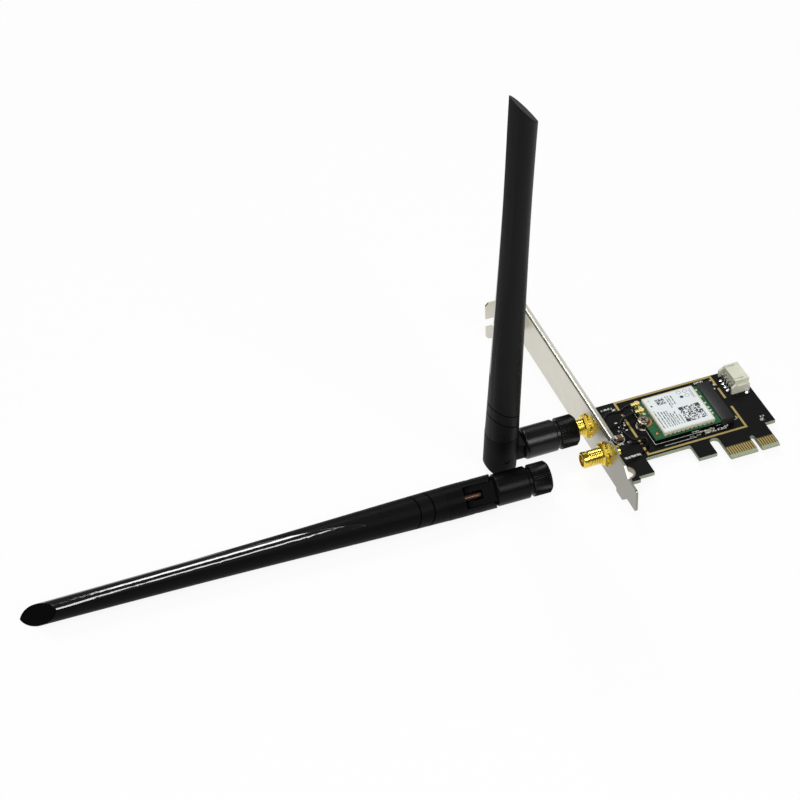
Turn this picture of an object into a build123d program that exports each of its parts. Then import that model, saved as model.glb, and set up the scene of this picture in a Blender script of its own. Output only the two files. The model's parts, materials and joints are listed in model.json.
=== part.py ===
from build123d import *
import os
from math import atan, cos, degrees, radians, tan

os.makedirs("parts", exist_ok=True)

# A plug-in wireless network card with a slot bracket and two hinged stick antennas, one screwed
# to its jack and one lying loose beside the card. Sizes are in millimetres.
# X runs from the bracket's outer face to the rear of the board, Y along the bracket to its flange
# and Z up from the component side of the board. Y is zero at the tips of the edge contacts.

# Slot bracket, folded from one sheet
bracket_sheet = 0.86
bracket_length = 120.02
bracket_width = 18.42
bracket_foot = -13.3
table_height = -3.95
foot_width = 10.19
foot_length = 7.6
foot_corner = 1.2
joggle_offset = 0.7
joggle_level = 5.2
joggle_run = 1.4
free_edge_drop = 0.6
flange_reach = 12.8
notch_width = 4.3
notch_depth = 5.0
notch_height = 8.4
prong_chamfer = 1.3
bend_radius = 1.25
rib_depth = 2.45
rib_start = 13.0
rib_end = 100.0
fold_relief = 0.7
ear_reach = 9.2
ear_width = 7.0
ear_level = 41.0
jack_hole = 6.5

# Screw that holds the board on the bracket's ear
board_screw_x = 5.2
board_screw_head = 5.4
board_screw_head_height = 1.8
board_screw_diameter = 2.9
board_screw_length = 3.1
board_screw_gap = 0.15

# Circuit board
board_thickness = 1.6
board_gap = 0.34
board_margin = 11.5
board_top = 46.0
lower_edge = 12.2
inner_corner = 1.0
left_tab_right = 15.1
left_tab_end = 3.8
nib_middle = 7.05
nib_width = 3.1
nib_length = 1.7
middle_tab_left = 33.85
middle_tab_end = 4.2
tab_slot_left = 41.4
tab_slot_top = 12.5
tongue_left = 45.35
tongue_right = 65.65
tongue_step = 12.7
key_left = 56.55
key_width = 1.9
key_top = 8.1
bevel_length = 1.3
bevel_depth = 0.47
pad_pitch = 1.0
pad_width = 0.62
pad_end = 5.6
pad_margin = 0.65
rear_pad_margin = 0.55
front_pads = 11
rear_pads = 7
copper = 0.04

# Gold stripe round the module area
stripe_width = 0.9
stripe_left = 16.6
stripe_margin = 3.7
stripe_bottom = 13.1
stripe_top = 45.85
left_breaks = ((33.9, 40.6), (23.1, 24.0), (18.1, 19.8))
right_breaks = ((37.9, 39.7), (26.4, 31.5))
stripe_dots = (37.9, 35.3)
stripe_dot_diameter = 0.8

# Plated mounting hole
ring_x = 4.9
ring_y = 7.4
ring_diameter = 7.1
ring_bore = 5.6
barrel_wall = 0.25

# Radio module with its shield, label, screw and standoff
module_left = 21.9
module_length = 30.0
module_width = 22.0
module_middle = 28.85
module_underside = 1.64
module_thickness = 0.8
half_hole = 3.5
shield_inset = 3.7
shield_rear = 4.6
shield_side = 0.3
shield_height = 1.41
shield_wall = 0.2
shield_corner = 0.6
rim_notch = 0.7
rim_notch_height = 0.45
rim_pitch = 1.8
label_margin = 0.4
label_thickness = 0.08
label_corner = 0.5
chip_size = 8.0
chip_height = 0.85
chip_spacing = 10.0
screw_head = 5.1
screw_head_height = 1.16
screw_head_rim = 0.45
screw_head_flat = 2.9
screw_diameter = 2.0
screw_length = 2.6
recess_length = 2.7
recess_width = 0.62
recess_depth = 0.65
standoff_diameter = 5.2
standoff_foot = 6.0
standoff_foot_height = 0.35
standoff_stem = 3.4
standoff_stem_end = 0.1
fit_gap = 0.01

# Module socket
socket_depth = 6.5
socket_height = 3.3
socket_margin = 0.45
socket_grip = 3.4
socket_mouth_gap = 0.06
socket_corner = 0.35
socket_pitch = 0.5
socket_lead_width = 0.24
socket_lead_length = 0.9
socket_lead_height = 0.3
socket_end_margin = 1.5

# Miniature coaxial connectors on the module
coax_inset = 1.4
coax_first = 38.3
coax_second = 34.1
receptacle_size = 2.0
receptacle_base = 0.3
receptacle_diameter = 1.5
receptacle_height = 0.8
plug_diameter = 2.2
plug_gap = 0.05
plug_height = 1.5
crimp_length = 1.5
crimp_diameter = 1.4
crimp_grip = 1.1

# Pigtail cables
pigtail_diameter = 1.1
pigtail_grip = 0.9

# Side-entry header
header_inset = 1.1
header_depth = 6.0
header_width = 10.3
header_middle = 38.5
header_height = 5.6
cheek_width = 1.0
cheek_height = 3.3
cheek_crest = 4.1
header_wall = 0.85
header_floor = 1.0
header_cavity_depth = 4.9
header_groove_width = 0.6
header_groove_depth = 0.5
header_groove_inset = 0.9
header_groove_length = 4.0
wing_length = 1.7
wing_height = 2.9
header_pin_count = 4
header_pitch = 2.05
pin_size = 0.5
pin_level = 2.8
pin_reach = 4.3
pin_stand = 1.0
pin_foot = 1.4
tab_length = 1.7
tab_width = 0.9
tab_height = 0.8
tab_inset = 0.6

# Small chips
capacitor_x = 10.2
capacitor_y = 25.7
capacitor_length = 3.2
capacitor_width = 1.9
capacitor_height = 1.5
capacitor_end = 0.5
chip_length = 1.6
chip_width = 0.8
chip_end = 0.3
chip_tall = 0.5
chip_spots = (
    (13.2, 22.4),
    (12.3, 29.4),
    (11.0, 42.6),
    (13.9, 42.6),
    (36.4, 15.9),
    (39.2, 15.9),
    (66.2, 16.2),
)

# Antenna jacks
jack_height = 4.58
jack_first = 33.03
jack_second = 15.64
jack_thread = 6.35
jack_reach = 9.85
jack_mouth = 4.6
jack_mouth_depth = 1.95
jack_insulator = 4.1
jack_insulator_end = 2.4
jack_hexagon = 8.0
jack_hexagon_depth = 2.0
jack_barrel = 4.2
jack_barrel_end = 5.4
jack_chamfer = 0.4
jack_pin = 0.92
jack_pin_inset = 0.25
nut_hexagon = 8.0
nut_height = 1.6
nut_chamfer = 0.35
washer_thickness = 0.5
washer_diameter = 8.2
washer_tooth = 0.8
washer_tooth_width = 0.9
washer_teeth = 12

# Hinged antenna, with distances along its axis counted from the hinge
collar_diameter = 12.4
collar_front = 30.6
collar_length = 7.3
collar_chamfer = 0.9
collar_wall = 1.5
collar_lip = 0.25
nut_back_wall = 1.5
thread_gap = 0.05
turning_gap = 0.1
base_diameter = 12.4
base_rear = 21.9
base_front = 8.6
base_shoulder = 1.1
base_rear_round = 0.6
neck_depth = 1.0
ferrule_diameter = 4.9
ferrule_flange = 5.9
ferrule_flange_thickness = 0.6
ferrule_nose = 4.5
ferrule_inner = 18.5
ferrule_bore = 3.4
mating_face = 27.75
mating_gap = 0.04
contact_diameter = 1.8
contact_inset = 0.2
contact_depth = 3.1
yoke_radius = 3.6
yoke_width = 7.8
yoke_slot = 3.5
yoke_slot_depth = 3.6
knuckle_diameter = 13.1
knuckle_top = 10.6
knuckle_round = 8.3
knuckle_slot = 8.2
knuckle_pocket = 3.95
hinge_pin = 2.4
hinge_pin_gap = 0.05
hinge_pin_inset = 0.25
spigot_diameter = 8.8
spigot_length = 6.4
coax_diameter = 1.8
coax_bend = 1.0
coax_bore = 2.0
blade_root = 12.95
taper_station = 30.0
taper_diameter = 12.3
crease_station = 50.0
crease_width = 12.05
crease_thickness = 11.4
waist_station = 105.0
waist_width = 10.75
waist_thickness = 9.2
flare_station = 140.0
flare_width = 10.6
flare_thickness = 8.4
blade_length = 171.0
tip_width = 11.0
tip_thickness = 7.9
tip_angle = 50.0
groove_stations = (19.1, 24.4)
groove_tilt = 26.6
groove_width = 0.5
groove_depth = 0.45
radiator_sleeve = 5.0
radiator_wall = 0.3
radiator_sleeve_end = 52.0
radiator_wire = 1.8
radiator_end = 84.0
radiator_gap = 0.1

# Pose of the fitted antenna and place of the loose one
fitted_lean = 6.05
fitted_tilt = 91.3
loose_x = -54.5
loose_y = 15.32
loose_yaw = 1.6
loose_roll = 45.0

# Levels and edges that follow from the sizes above
bracket_top = bracket_foot + bracket_length
bracket_upper = table_height + bracket_width
bracket_middle = table_height + bracket_width / 2
flange_underside = bracket_top - bracket_sheet
shoulder = bracket_foot + foot_length
shoulder_drop = (bracket_width - foot_width) / 2
board_left = bracket_sheet + board_gap
board_underside = -board_thickness
ear_underside = board_underside - bracket_sheet
module_right = module_left + module_length
module_top = module_underside + module_thickness
shield_left = module_left + shield_inset
shield_length = module_length - shield_inset - shield_rear
shield_width = module_width - 2 * shield_side
shield_centre = (shield_left + shield_length / 2, module_middle)
shield_top = module_top + shield_height
socket_left = module_right - socket_grip
stripe_right = socket_left + socket_depth + stripe_margin
board_right = stripe_right + board_margin
header_mouth = board_right - header_inset
header_back = header_mouth - header_depth
board_screw_place = (board_screw_x, ear_level)
module_screw_place = (module_left, module_middle)
coax_x = module_left + coax_inset
crimp_height = module_top + receptacle_base + crimp_diameter / 2 + fit_gap
crimp_end = coax_x - plug_diameter / 2 - crimp_length


def write(piece: BuildPart, name: str) -> None:
    """Label a finished piece and write its STEP file."""
    piece.part.label = name
    export_step(piece.part, f"parts/{name}.step")


def section(frame: Plane) -> Plane:
    """Plane through a frame's axis: sketch x is the radius, sketch y the distance along the axis."""
    return Plane(origin=frame.origin, x_dir=frame.x_dir, z_dir=-frame.y_dir)


def turned(frame: Plane, about_x: float, about_y: float, about_z: float) -> Plane:
    """Frame turned about its own axes, by angles in degrees."""
    return Plane(frame.location * Rotation(about_x, about_y, about_z))


def spindle(frame: Plane) -> Axis:
    """Turning axis of a frame."""
    return Axis(frame.origin, frame.z_dir)


def corner_radii(points: list) -> list:
    """Radius of the arc at each corner of a cable's route, as large as its two runs allow."""
    radii = []
    for before, corner, after in zip(points, points[1:], points[2:]):
        arriving = Vector(corner) - Vector(before)
        leaving = Vector(after) - Vector(corner)
        turn = arriving.get_angle(leaving)
        radii.append(0.45 * min(arriving.length, leaving.length) / tan(radians(turn / 2)))
    return radii


# Bracket: side profile, face outline, flange notch, folded rib and ear, jack holes
with BuildPart() as bracket:
    with BuildSketch(Plane.XY.offset(table_height)) as side:
        with BuildLine():
            Polyline(
                (-joggle_offset, bracket_foot),
                (bracket_sheet - joggle_offset, bracket_foot),
                (bracket_sheet - joggle_offset, joggle_level - joggle_run),
                (bracket_sheet, joggle_level),
                (bracket_sheet, bracket_top),
                (-flange_reach, bracket_top),
                (-flange_reach, flange_underside),
                (0, flange_underside),
                (0, joggle_level),
                (-joggle_offset, joggle_level - joggle_run),
                close=True,
            )
        make_face()
        fillet(side.vertices().sort_by_distance((bracket_sheet, bracket_top))[0], bend_radius)
        fillet(side.vertices().sort_by_distance((0, flange_underside))[0], bend_radius - bracket_sheet)
    extrude(amount=bracket_width)
    with BuildSketch(Plane.YZ.offset(-2 * flange_reach)) as face:
        with BuildLine():
            Polyline(
                (bracket_foot, bracket_middle - foot_width / 2),
                (shoulder, bracket_middle - foot_width / 2),
                (shoulder + shoulder_drop, table_height),
                (bracket_top, table_height),
                (bracket_top, bracket_upper),
                (rib_start - fold_relief, bracket_upper),
                (rib_start - fold_relief, bracket_upper - free_edge_drop),
                (shoulder + shoulder_drop - free_edge_drop, bracket_upper - free_edge_drop),
                (shoulder, bracket_middle + foot_width / 2),
                (bracket_foot, bracket_middle + foot_width / 2),
                close=True,
            )
        make_face()
        fillet(face.vertices().group_by(Axis.X)[0], foot_corner)
    extrude(amount=4 * flange_reach, mode=Mode.INTERSECT)
    with BuildSketch(Plane.XZ.offset(-flange_underside + bracket_sheet)):
        with Locations((-flange_reach, table_height + notch_height)):
            SlotCenterToCenter(2 * (notch_depth - notch_width / 2), notch_width)
        for level in (table_height, bracket_upper):
            with Locations((-flange_reach, level)):
                Rectangle(prong_chamfer * 2 ** 0.5, prong_chamfer * 2 ** 0.5, rotation=45)
    extrude(amount=-3 * bracket_sheet, mode=Mode.SUBTRACT)
    with BuildSketch(Plane.YZ.offset(-bracket_sheet)):
        with Locations(((rib_start + rib_end) / 2, bracket_upper)):
            Rectangle(rib_end - rib_start + 2 * fold_relief, 2 * bend_radius)
        with Locations((ear_level, ear_underside + bend_radius)):
            Rectangle(ear_width + 2 * fold_relief, bracket_width, align=(Align.CENTER, Align.MAX))
        with Locations((jack_first, jack_height), (jack_second, jack_height)):
            Circle(jack_hole / 2)
    extrude(amount=3 * bracket_sheet, mode=Mode.SUBTRACT)
    with BuildSketch(Plane.XZ.offset(-rib_end)) as rib:
        with BuildLine():
            Polyline(
                (0, bracket_upper - bend_radius),
                (bracket_sheet, bracket_upper - bend_radius),
                (bracket_sheet, bracket_upper - bracket_sheet),
                (rib_depth, bracket_upper - bracket_sheet),
                (rib_depth, bracket_upper),
                (0, bracket_upper),
                close=True,
            )
        make_face()
        fillet(rib.vertices().sort_by_distance((0, bracket_upper))[0], bend_radius)
        inside = rib.vertices().sort_by_distance((bracket_sheet, bracket_upper - bracket_sheet))[0]
        fillet(inside, bend_radius - bracket_sheet)
    extrude(amount=rib_end - rib_start)
    with BuildSketch(Plane.XZ.offset(-ear_level - ear_width / 2)) as ear:
        with BuildLine():
            Polyline(
                (0, ear_underside + bend_radius),
                (bracket_sheet, ear_underside + bend_radius),
                (bracket_sheet, board_underside),
                (ear_reach, board_underside),
                (ear_reach, ear_underside),
                (0, ear_underside),
                close=True,
            )
        make_face()
        fillet(ear.vertices().sort_by_distance((0, ear_underside))[0], bend_radius)
        inside = ear.vertices().sort_by_distance((bracket_sheet, board_underside))[0]
        fillet(inside, bend_radius - bracket_sheet)
    extrude(amount=ear_width)
    with BuildSketch(Plane.XY.offset(ear_underside)):
        with Locations(board_screw_place):
            Circle(board_screw_diameter / 2 + fit_gap)
    extrude(amount=bracket_sheet, mode=Mode.SUBTRACT)
write(bracket, "bracket")

# Board with its tabs, contact tongue, break-off nib and holes
with BuildPart() as circuit_board:
    with BuildSketch() as outline:
        with BuildLine():
            Polyline(
                (board_left, left_tab_end),
                (left_tab_right, left_tab_end),
                (left_tab_right, lower_edge),
                (middle_tab_left, lower_edge),
                (middle_tab_left, middle_tab_end),
                (tongue_left, middle_tab_end),
                (tongue_left, 0),
                (tongue_right, 0),
                (tongue_right, tongue_step),
                (board_right, tongue_step),
                (board_right, board_top),
                (board_left, board_top),
                close=True,
            )
        make_face()
        for corner in ((left_tab_right, lower_edge), (middle_tab_left, lower_edge)):
            fillet(outline.vertices().sort_by_distance(corner)[0], inner_corner)
        with Locations((nib_middle, left_tab_end)):
            Rectangle(nib_width, nib_length, align=(Align.CENTER, Align.MAX))
        for left, width, top in (
            (tab_slot_left, tongue_left - tab_slot_left, tab_slot_top),
            (key_left, key_width, key_top),
        ):
            with Locations((left + width / 2, top - width / 2)):
                Circle(width / 2, mode=Mode.SUBTRACT)
                Rectangle(width, top, align=(Align.CENTER, Align.MAX), mode=Mode.SUBTRACT)
        with Locations((ring_x, ring_y)):
            Circle(ring_bore / 2 + barrel_wall, mode=Mode.SUBTRACT)
        with Locations(board_screw_place):
            Circle(board_screw_diameter / 2 + board_screw_gap, mode=Mode.SUBTRACT)
        with Locations(module_screw_place):
            Circle(standoff_stem / 2 + fit_gap, mode=Mode.SUBTRACT)
    extrude(amount=-board_thickness)
    with BuildSketch(Plane.YZ.offset(tongue_left)):
        for level, inward in ((0, -bevel_depth), (board_underside, bevel_depth)):
            with BuildLine():
                Polyline((0, level), (bevel_length, level), (0, level + inward), close=True)
            make_face()
    extrude(amount=tongue_right - tongue_left, mode=Mode.SUBTRACT)
write(circuit_board, "circuit_board")

# Edge contacts in two groups on both faces of the tongue
with BuildPart() as edge_contacts:
    with BuildSketch(Plane.XY, Plane.XY.offset(board_underside - copper)):
        for first, count in (
            (tongue_left + pad_margin, front_pads),
            (key_left + key_width + rear_pad_margin, rear_pads),
        ):
            with Locations((first + (count - 1) * pad_pitch / 2, (bevel_length + pad_end) / 2)):
                with GridLocations(pad_pitch, 1, count, 1):
                    Rectangle(pad_width, pad_end - bevel_length)
    extrude(amount=copper)
write(edge_contacts, "edge_contacts")

# Gold stripe with its breaks and dots
stripe_middle = ((stripe_left + stripe_right) / 2, (stripe_bottom + stripe_top) / 2)
with BuildPart() as ground_stripe:
    with BuildSketch():
        with Locations(stripe_middle):
            Rectangle(stripe_right - stripe_left, stripe_top - stripe_bottom)
            Rectangle(
                stripe_right - stripe_left - 2 * stripe_width,
                stripe_top - stripe_bottom - 2 * stripe_width,
                mode=Mode.SUBTRACT,
            )
        for centre, breaks in (
            (stripe_left + stripe_width / 2, left_breaks),
            (stripe_right - stripe_width / 2, right_breaks),
        ):
            for low, high in breaks:
                with Locations((centre, (low + high) / 2)):
                    Rectangle(2 * stripe_width, high - low, mode=Mode.SUBTRACT)
        for level in stripe_dots:
            with Locations((stripe_left + stripe_width / 2, level)):
                Circle(stripe_dot_diameter / 2)
    extrude(amount=copper)
write(ground_stripe, "ground_stripe")

# Plated ring of the mounting hole, with its barrel
ring_frame = Plane(origin=(ring_x, ring_y, 0))
with BuildPart() as mounting_ring:
    with BuildSketch(section(ring_frame)):
        with BuildLine():
            Polyline(
                (ring_bore / 2, copper),
                (ring_diameter / 2, copper),
                (ring_diameter / 2, 0),
                (ring_bore / 2 + barrel_wall, 0),
                (ring_bore / 2 + barrel_wall, board_underside),
                (ring_diameter / 2, board_underside),
                (ring_diameter / 2, board_underside - copper),
                (ring_bore / 2, board_underside - copper),
                close=True,
            )
        make_face()
    revolve(axis=spindle(ring_frame))
write(mounting_ring, "mounting_ring")

# Pan head screw that holds the board on the ear
board_screw_frame = Plane(origin=(*board_screw_place, 0))
with BuildPart() as board_screw:
    with BuildSketch(section(board_screw_frame)):
        with BuildLine():
            Polyline(
                (0, -board_screw_length),
                (board_screw_diameter / 2, -board_screw_length),
                (board_screw_diameter / 2, 0),
                (board_screw_head / 2, 0),
                (board_screw_head / 2, board_screw_head_height / 2),
                (board_screw_head / 4, board_screw_head_height),
                (0, board_screw_head_height),
                close=True,
            )
        make_face()
    revolve(axis=spindle(board_screw_frame))
    with BuildSketch(board_screw_frame.offset(board_screw_head_height - recess_depth)):
        Rectangle(recess_length, recess_width)
        Rectangle(recess_width, recess_length)
    extrude(amount=recess_depth, mode=Mode.SUBTRACT)
write(board_screw, "board_screw")

# Standoff soldered through the board under the module's end
standoff_frame = Plane(origin=(*module_screw_place, 0))
with BuildPart() as module_standoff:
    with BuildSketch(section(standoff_frame)):
        with BuildLine():
            Polyline(
                (0, board_underside + standoff_stem_end),
                (standoff_stem / 2, board_underside + standoff_stem_end),
                (standoff_stem / 2, 0),
                (standoff_foot / 2, 0),
                (standoff_foot / 2, standoff_foot_height),
                (standoff_diameter / 2, standoff_foot_height),
                (standoff_diameter / 2, module_underside),
                (0, module_underside),
                close=True,
            )
        make_face()
    revolve(axis=spindle(standoff_frame))
    with BuildSketch(standoff_frame.offset(module_underside)):
        Circle(screw_diameter / 2 + fit_gap)
    extrude(amount=-screw_length, mode=Mode.SUBTRACT)
write(module_standoff, "module_standoff")

# Domed cross-recess screw in the module's half hole
screw_frame = standoff_frame.offset(module_top)
with BuildPart() as module_screw:
    with BuildSketch(section(screw_frame)):
        with BuildLine():
            Polyline(
                (screw_head_flat / 2, screw_head_height),
                (0, screw_head_height),
                (0, -screw_length),
                (screw_diameter / 2, -screw_length),
                (screw_diameter / 2, 0),
                (screw_head / 2, 0),
                (screw_head / 2, screw_head_rim),
            )
            Spline(
                (screw_head / 2, screw_head_rim),
                (screw_head_flat / 2, screw_head_height),
                tangents=[(0, 1), (-1, 0)],
            )
        make_face()
    revolve(axis=spindle(screw_frame))
    with BuildSketch(screw_frame.offset(screw_head_height - recess_depth)):
        Rectangle(recess_length, recess_width, rotation=20)
        Rectangle(recess_width, recess_length, rotation=20)
    extrude(amount=recess_depth, mode=Mode.SUBTRACT)
write(module_screw, "module_screw")

# Radio module board with its half hole
with BuildPart() as module_board:
    with BuildSketch(Plane.XY.offset(module_underside)):
        with Locations((module_left + module_length / 2, module_middle)):
            Rectangle(module_length, module_width)
        with Locations(module_screw_place):
            Circle(half_hole / 2, mode=Mode.SUBTRACT)
    extrude(amount=module_thickness)
write(module_board, "module_board")

# Shield can: thin walls with a notched lower rim
with BuildPart() as module_shield:
    with BuildSketch(Plane.XY.offset(module_top)):
        with Locations(shield_centre):
            RectangleRounded(shield_length, shield_width, shield_corner)
    extrude(amount=shield_height)
    with BuildSketch(Plane.XY.offset(module_top)):
        with Locations(shield_centre):
            Rectangle(shield_length - 2 * shield_wall, shield_width - 2 * shield_wall)
    extrude(amount=shield_height - shield_wall, mode=Mode.SUBTRACT)
    with BuildSketch(Plane.XZ.offset(-module_middle)):
        with Locations((shield_centre[0], module_top)):
            with GridLocations(rim_pitch, 1, int(shield_length / rim_pitch) - 1, 1):
                Rectangle(rim_notch, 2 * rim_notch_height)
    extrude(amount=shield_width, both=True, mode=Mode.SUBTRACT)
    with BuildSketch(Plane.YZ.offset(shield_centre[0])):
        with Locations((module_middle, module_top)):
            with GridLocations(rim_pitch, 1, int(shield_width / rim_pitch) - 1, 1):
                Rectangle(rim_notch, 2 * rim_notch_height)
    extrude(amount=shield_length, both=True, mode=Mode.SUBTRACT)
write(module_shield, "module_shield")

# Label on top of the shield
with BuildPart() as module_label:
    with BuildSketch(Plane.XY.offset(shield_top)):
        with Locations(shield_centre):
            RectangleRounded(shield_length - 2 * label_margin, shield_width - 2 * label_margin, label_corner)
    extrude(amount=label_thickness)
write(module_label, "module_label")

# Radio chips under the shield
with BuildPart() as radio_chips:
    with BuildSketch(Plane.XY.offset(module_top)):
        with Locations(shield_centre):
            with GridLocations(chip_spacing, 1, 2, 1):
                Rectangle(chip_size, chip_size)
    extrude(amount=chip_height)
write(radio_chips, "radio_chips")

# Socket that grips the module's contact edge
socket_width = module_width + 2 * socket_margin
with BuildPart() as module_socket:
    with BuildSketch():
        with Locations((socket_left + socket_depth / 2, module_middle)):
            Rectangle(socket_depth, socket_width)
    extrude(amount=socket_height)
    chamfer(module_socket.edges().group_by(Axis.Z)[-1], socket_corner)
    with BuildSketch(Plane.YZ.offset(socket_left)):
        with Locations((module_middle, module_underside + module_thickness / 2)):
            Rectangle(module_width + 2 * socket_mouth_gap, module_thickness + 2 * socket_mouth_gap)
    extrude(amount=socket_grip + socket_mouth_gap, mode=Mode.SUBTRACT)
write(module_socket, "module_socket")

# Row of solder leads behind the socket
socket_leads_count = int((socket_width - 2 * socket_end_margin) / socket_pitch)
with BuildPart() as socket_leads:
    with BuildSketch():
        with Locations((socket_left + socket_depth + socket_lead_length / 2, module_middle)):
            with GridLocations(1, socket_pitch, 1, socket_leads_count):
                Rectangle(socket_lead_length, socket_lead_width)
    extrude(amount=socket_lead_height)
write(socket_leads, "socket_leads")

# Coaxial receptacles on the module
coax_places = ((coax_x, coax_first), (coax_x, coax_second))
with BuildPart() as coax_receptacles:
    with BuildSketch(Plane.XY.offset(module_top)):
        with Locations(*coax_places):
            Rectangle(receptacle_size, receptacle_size)
    extrude(amount=receptacle_base)
    with BuildSketch(Plane.XY.offset(module_top)):
        with Locations(*coax_places):
            Circle(receptacle_diameter / 2)
    extrude(amount=receptacle_height)
write(coax_receptacles, "coax_receptacles")

# Snap-on coaxial plugs with their crimps towards the bracket
with BuildPart() as coax_plugs:
    with BuildSketch(Plane.XY.offset(module_top + receptacle_base + fit_gap)):
        with Locations(*coax_places):
            Circle(plug_diameter / 2)
    extrude(amount=plug_height - receptacle_base - fit_gap)
    with BuildSketch(Plane.YZ.offset(crimp_end)):
        with Locations((coax_first, crimp_height), (coax_second, crimp_height)):
            Circle(crimp_diameter / 2)
    extrude(amount=coax_x - crimp_end)
    with BuildSketch(Plane.XY.offset(module_top)):
        with Locations(*coax_places):
            Circle(receptacle_diameter / 2 + plug_gap)
    extrude(amount=receptacle_height + plug_gap, mode=Mode.SUBTRACT)
    with BuildSketch(Plane.YZ.offset(crimp_end)):
        with Locations((coax_first, crimp_height), (coax_second, crimp_height)):
            Circle(pigtail_diameter / 2 + fit_gap)
    extrude(amount=crimp_grip, mode=Mode.SUBTRACT)
write(coax_plugs, "coax_plugs")

# Pigtail cables from the jacks' rear barrels to the plugs
pigtail_start = jack_barrel_end - pigtail_grip
pigtail_stop = crimp_end + crimp_grip
pigtail_routes = {
    "pigtail_1": [
        (pigtail_start, jack_first, jack_height),
        (7.2, jack_first, jack_height),
        (9.6, 35.8, 4.9),
        (15.4, 36.1, 3.7),
        (18.9, coax_first, crimp_height),
        (pigtail_stop, coax_first, crimp_height),
    ],
    "pigtail_2": [
        (pigtail_start, jack_second, jack_height),
        (9.6, jack_second, jack_height),
        (15.0, 16.4, 2.2),
        (19.2, 17.4, 1.3),
        (19.4, 22.2, 1.2),
        (14.2, 21.4, 1.3),
        (12.6, 28.0, 1.6),
        (13.2, 32.4, 2.4),
        (18.6, coax_second, crimp_height),
        (pigtail_stop, coax_second, crimp_height),
    ],
}
for name, points in pigtail_routes.items():
    with BuildPart() as pigtail:
        with BuildLine() as route:
            FilletPolyline(*points, radius=corner_radii(points))
        with BuildSketch(Plane(origin=route.line @ 0, z_dir=route.line % 0)):
            Circle(pigtail_diameter / 2)
        sweep(path=route.line)
    write(pigtail, name)

# Header housing: low cheeks with sloping wings, grooves on top, open mouth towards the board's edge
header_centre = header_back + header_depth / 2
with BuildPart() as header_housing:
    with BuildSketch():
        with Locations((header_centre, header_middle)):
            Rectangle(header_depth, header_width)
    extrude(amount=header_height)
    for cheek in (header_middle - header_width / 2, header_middle + header_width / 2 + cheek_width):
        with BuildSketch(Plane.XZ.offset(-cheek)):
            with BuildLine():
                Polyline(
                    (header_mouth, 0),
                    (header_mouth, cheek_height),
                    (header_back + cheek_width, cheek_height),
                    (header_back, cheek_crest),
                    (header_back - wing_length, wing_height),
                    (header_back - wing_length, 0),
                    close=True,
                )
            make_face()
        extrude(amount=cheek_width)
    with BuildSketch(Plane.YZ.offset(header_mouth)):
        with Locations((header_middle, header_floor)):
            Rectangle(
                header_width - 2 * header_wall,
                header_height - header_floor - header_wall,
                align=(Align.CENTER, Align.MIN),
            )
    extrude(amount=-header_cavity_depth, mode=Mode.SUBTRACT)
    with BuildSketch(Plane.XY.offset(header_height)):
        with Locations((header_back, header_middle)):
            with GridLocations(1, header_width - 2 * header_groove_inset - header_groove_width, 1, 2):
                Rectangle(2 * header_groove_length, header_groove_width)
    extrude(amount=-header_groove_depth, mode=Mode.SUBTRACT)
    with BuildSketch(Plane.YZ.offset(header_back)):
        with Locations((header_middle, pin_level)):
            with GridLocations(header_pitch, 1, header_pin_count, 1):
                Rectangle(pin_size + 2 * fit_gap, pin_size + 2 * fit_gap)
    extrude(amount=header_depth - header_cavity_depth, mode=Mode.SUBTRACT)
write(header_housing, "header_housing")

# Header pins: straight in the cavity, cranked down behind the housing to solder feet
pin_bend = header_back - pin_stand
with BuildPart() as header_pins:
    for index in range(header_pin_count):
        row = header_middle + (index - (header_pin_count - 1) / 2) * header_pitch
        with BuildSketch(Plane.XZ.offset(-row)):
            with BuildLine():
                Polyline(
                    (header_back + pin_reach, pin_level + pin_size / 2),
                    (pin_bend - pin_size, pin_level + pin_size / 2),
                    (pin_bend - pin_size, pin_size),
                    (pin_bend - pin_foot, pin_size),
                    (pin_bend - pin_foot, 0),
                    (pin_bend, 0),
                    (pin_bend, pin_level - pin_size / 2),
                    (header_back + pin_reach, pin_level - pin_size / 2),
                    close=True,
                )
            make_face()
        extrude(amount=pin_size / 2, both=True)
write(header_pins, "header_pins")

# Solder tabs beside the header's mouth
with BuildPart() as header_tabs:
    with BuildSketch():
        with Locations((header_mouth - tab_inset - tab_length / 2, header_middle)):
            with GridLocations(1, header_width + 2 * cheek_width + tab_width, 1, 2):
                Rectangle(tab_length, tab_width)
    extrude(amount=tab_height)
    fillet(header_tabs.edges().group_by(Axis.Z)[-1], tab_height / 4)
write(header_tabs, "header_tabs")

# Capacitor near the bracket: body between two plated ends
with BuildPart() as capacitor_body:
    with BuildSketch():
        with Locations((capacitor_x, capacitor_y)):
            Rectangle(capacitor_length - 2 * capacitor_end, capacitor_width)
    extrude(amount=capacitor_height)
write(capacitor_body, "capacitor_body")

# Plated ends of the capacitor and of the small chips
with BuildPart() as chip_ends:
    with BuildSketch():
        with Locations((capacitor_x, capacitor_y)):
            with GridLocations(capacitor_length - capacitor_end, 1, 2, 1):
                Rectangle(capacitor_end, capacitor_width)
    extrude(amount=capacitor_height)
    with BuildSketch():
        with Locations(*chip_spots):
            with GridLocations(chip_length - chip_end, 1, 2, 1):
                Rectangle(chip_end, chip_width)
    extrude(amount=chip_tall)
write(chip_ends, "chip_ends")

# Bodies of the small chips
with BuildPart() as chip_bodies:
    with BuildSketch():
        with Locations(*chip_spots):
            Rectangle(chip_length - 2 * chip_end, chip_width)
    extrude(amount=chip_tall)
write(chip_bodies, "chip_bodies")

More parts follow.
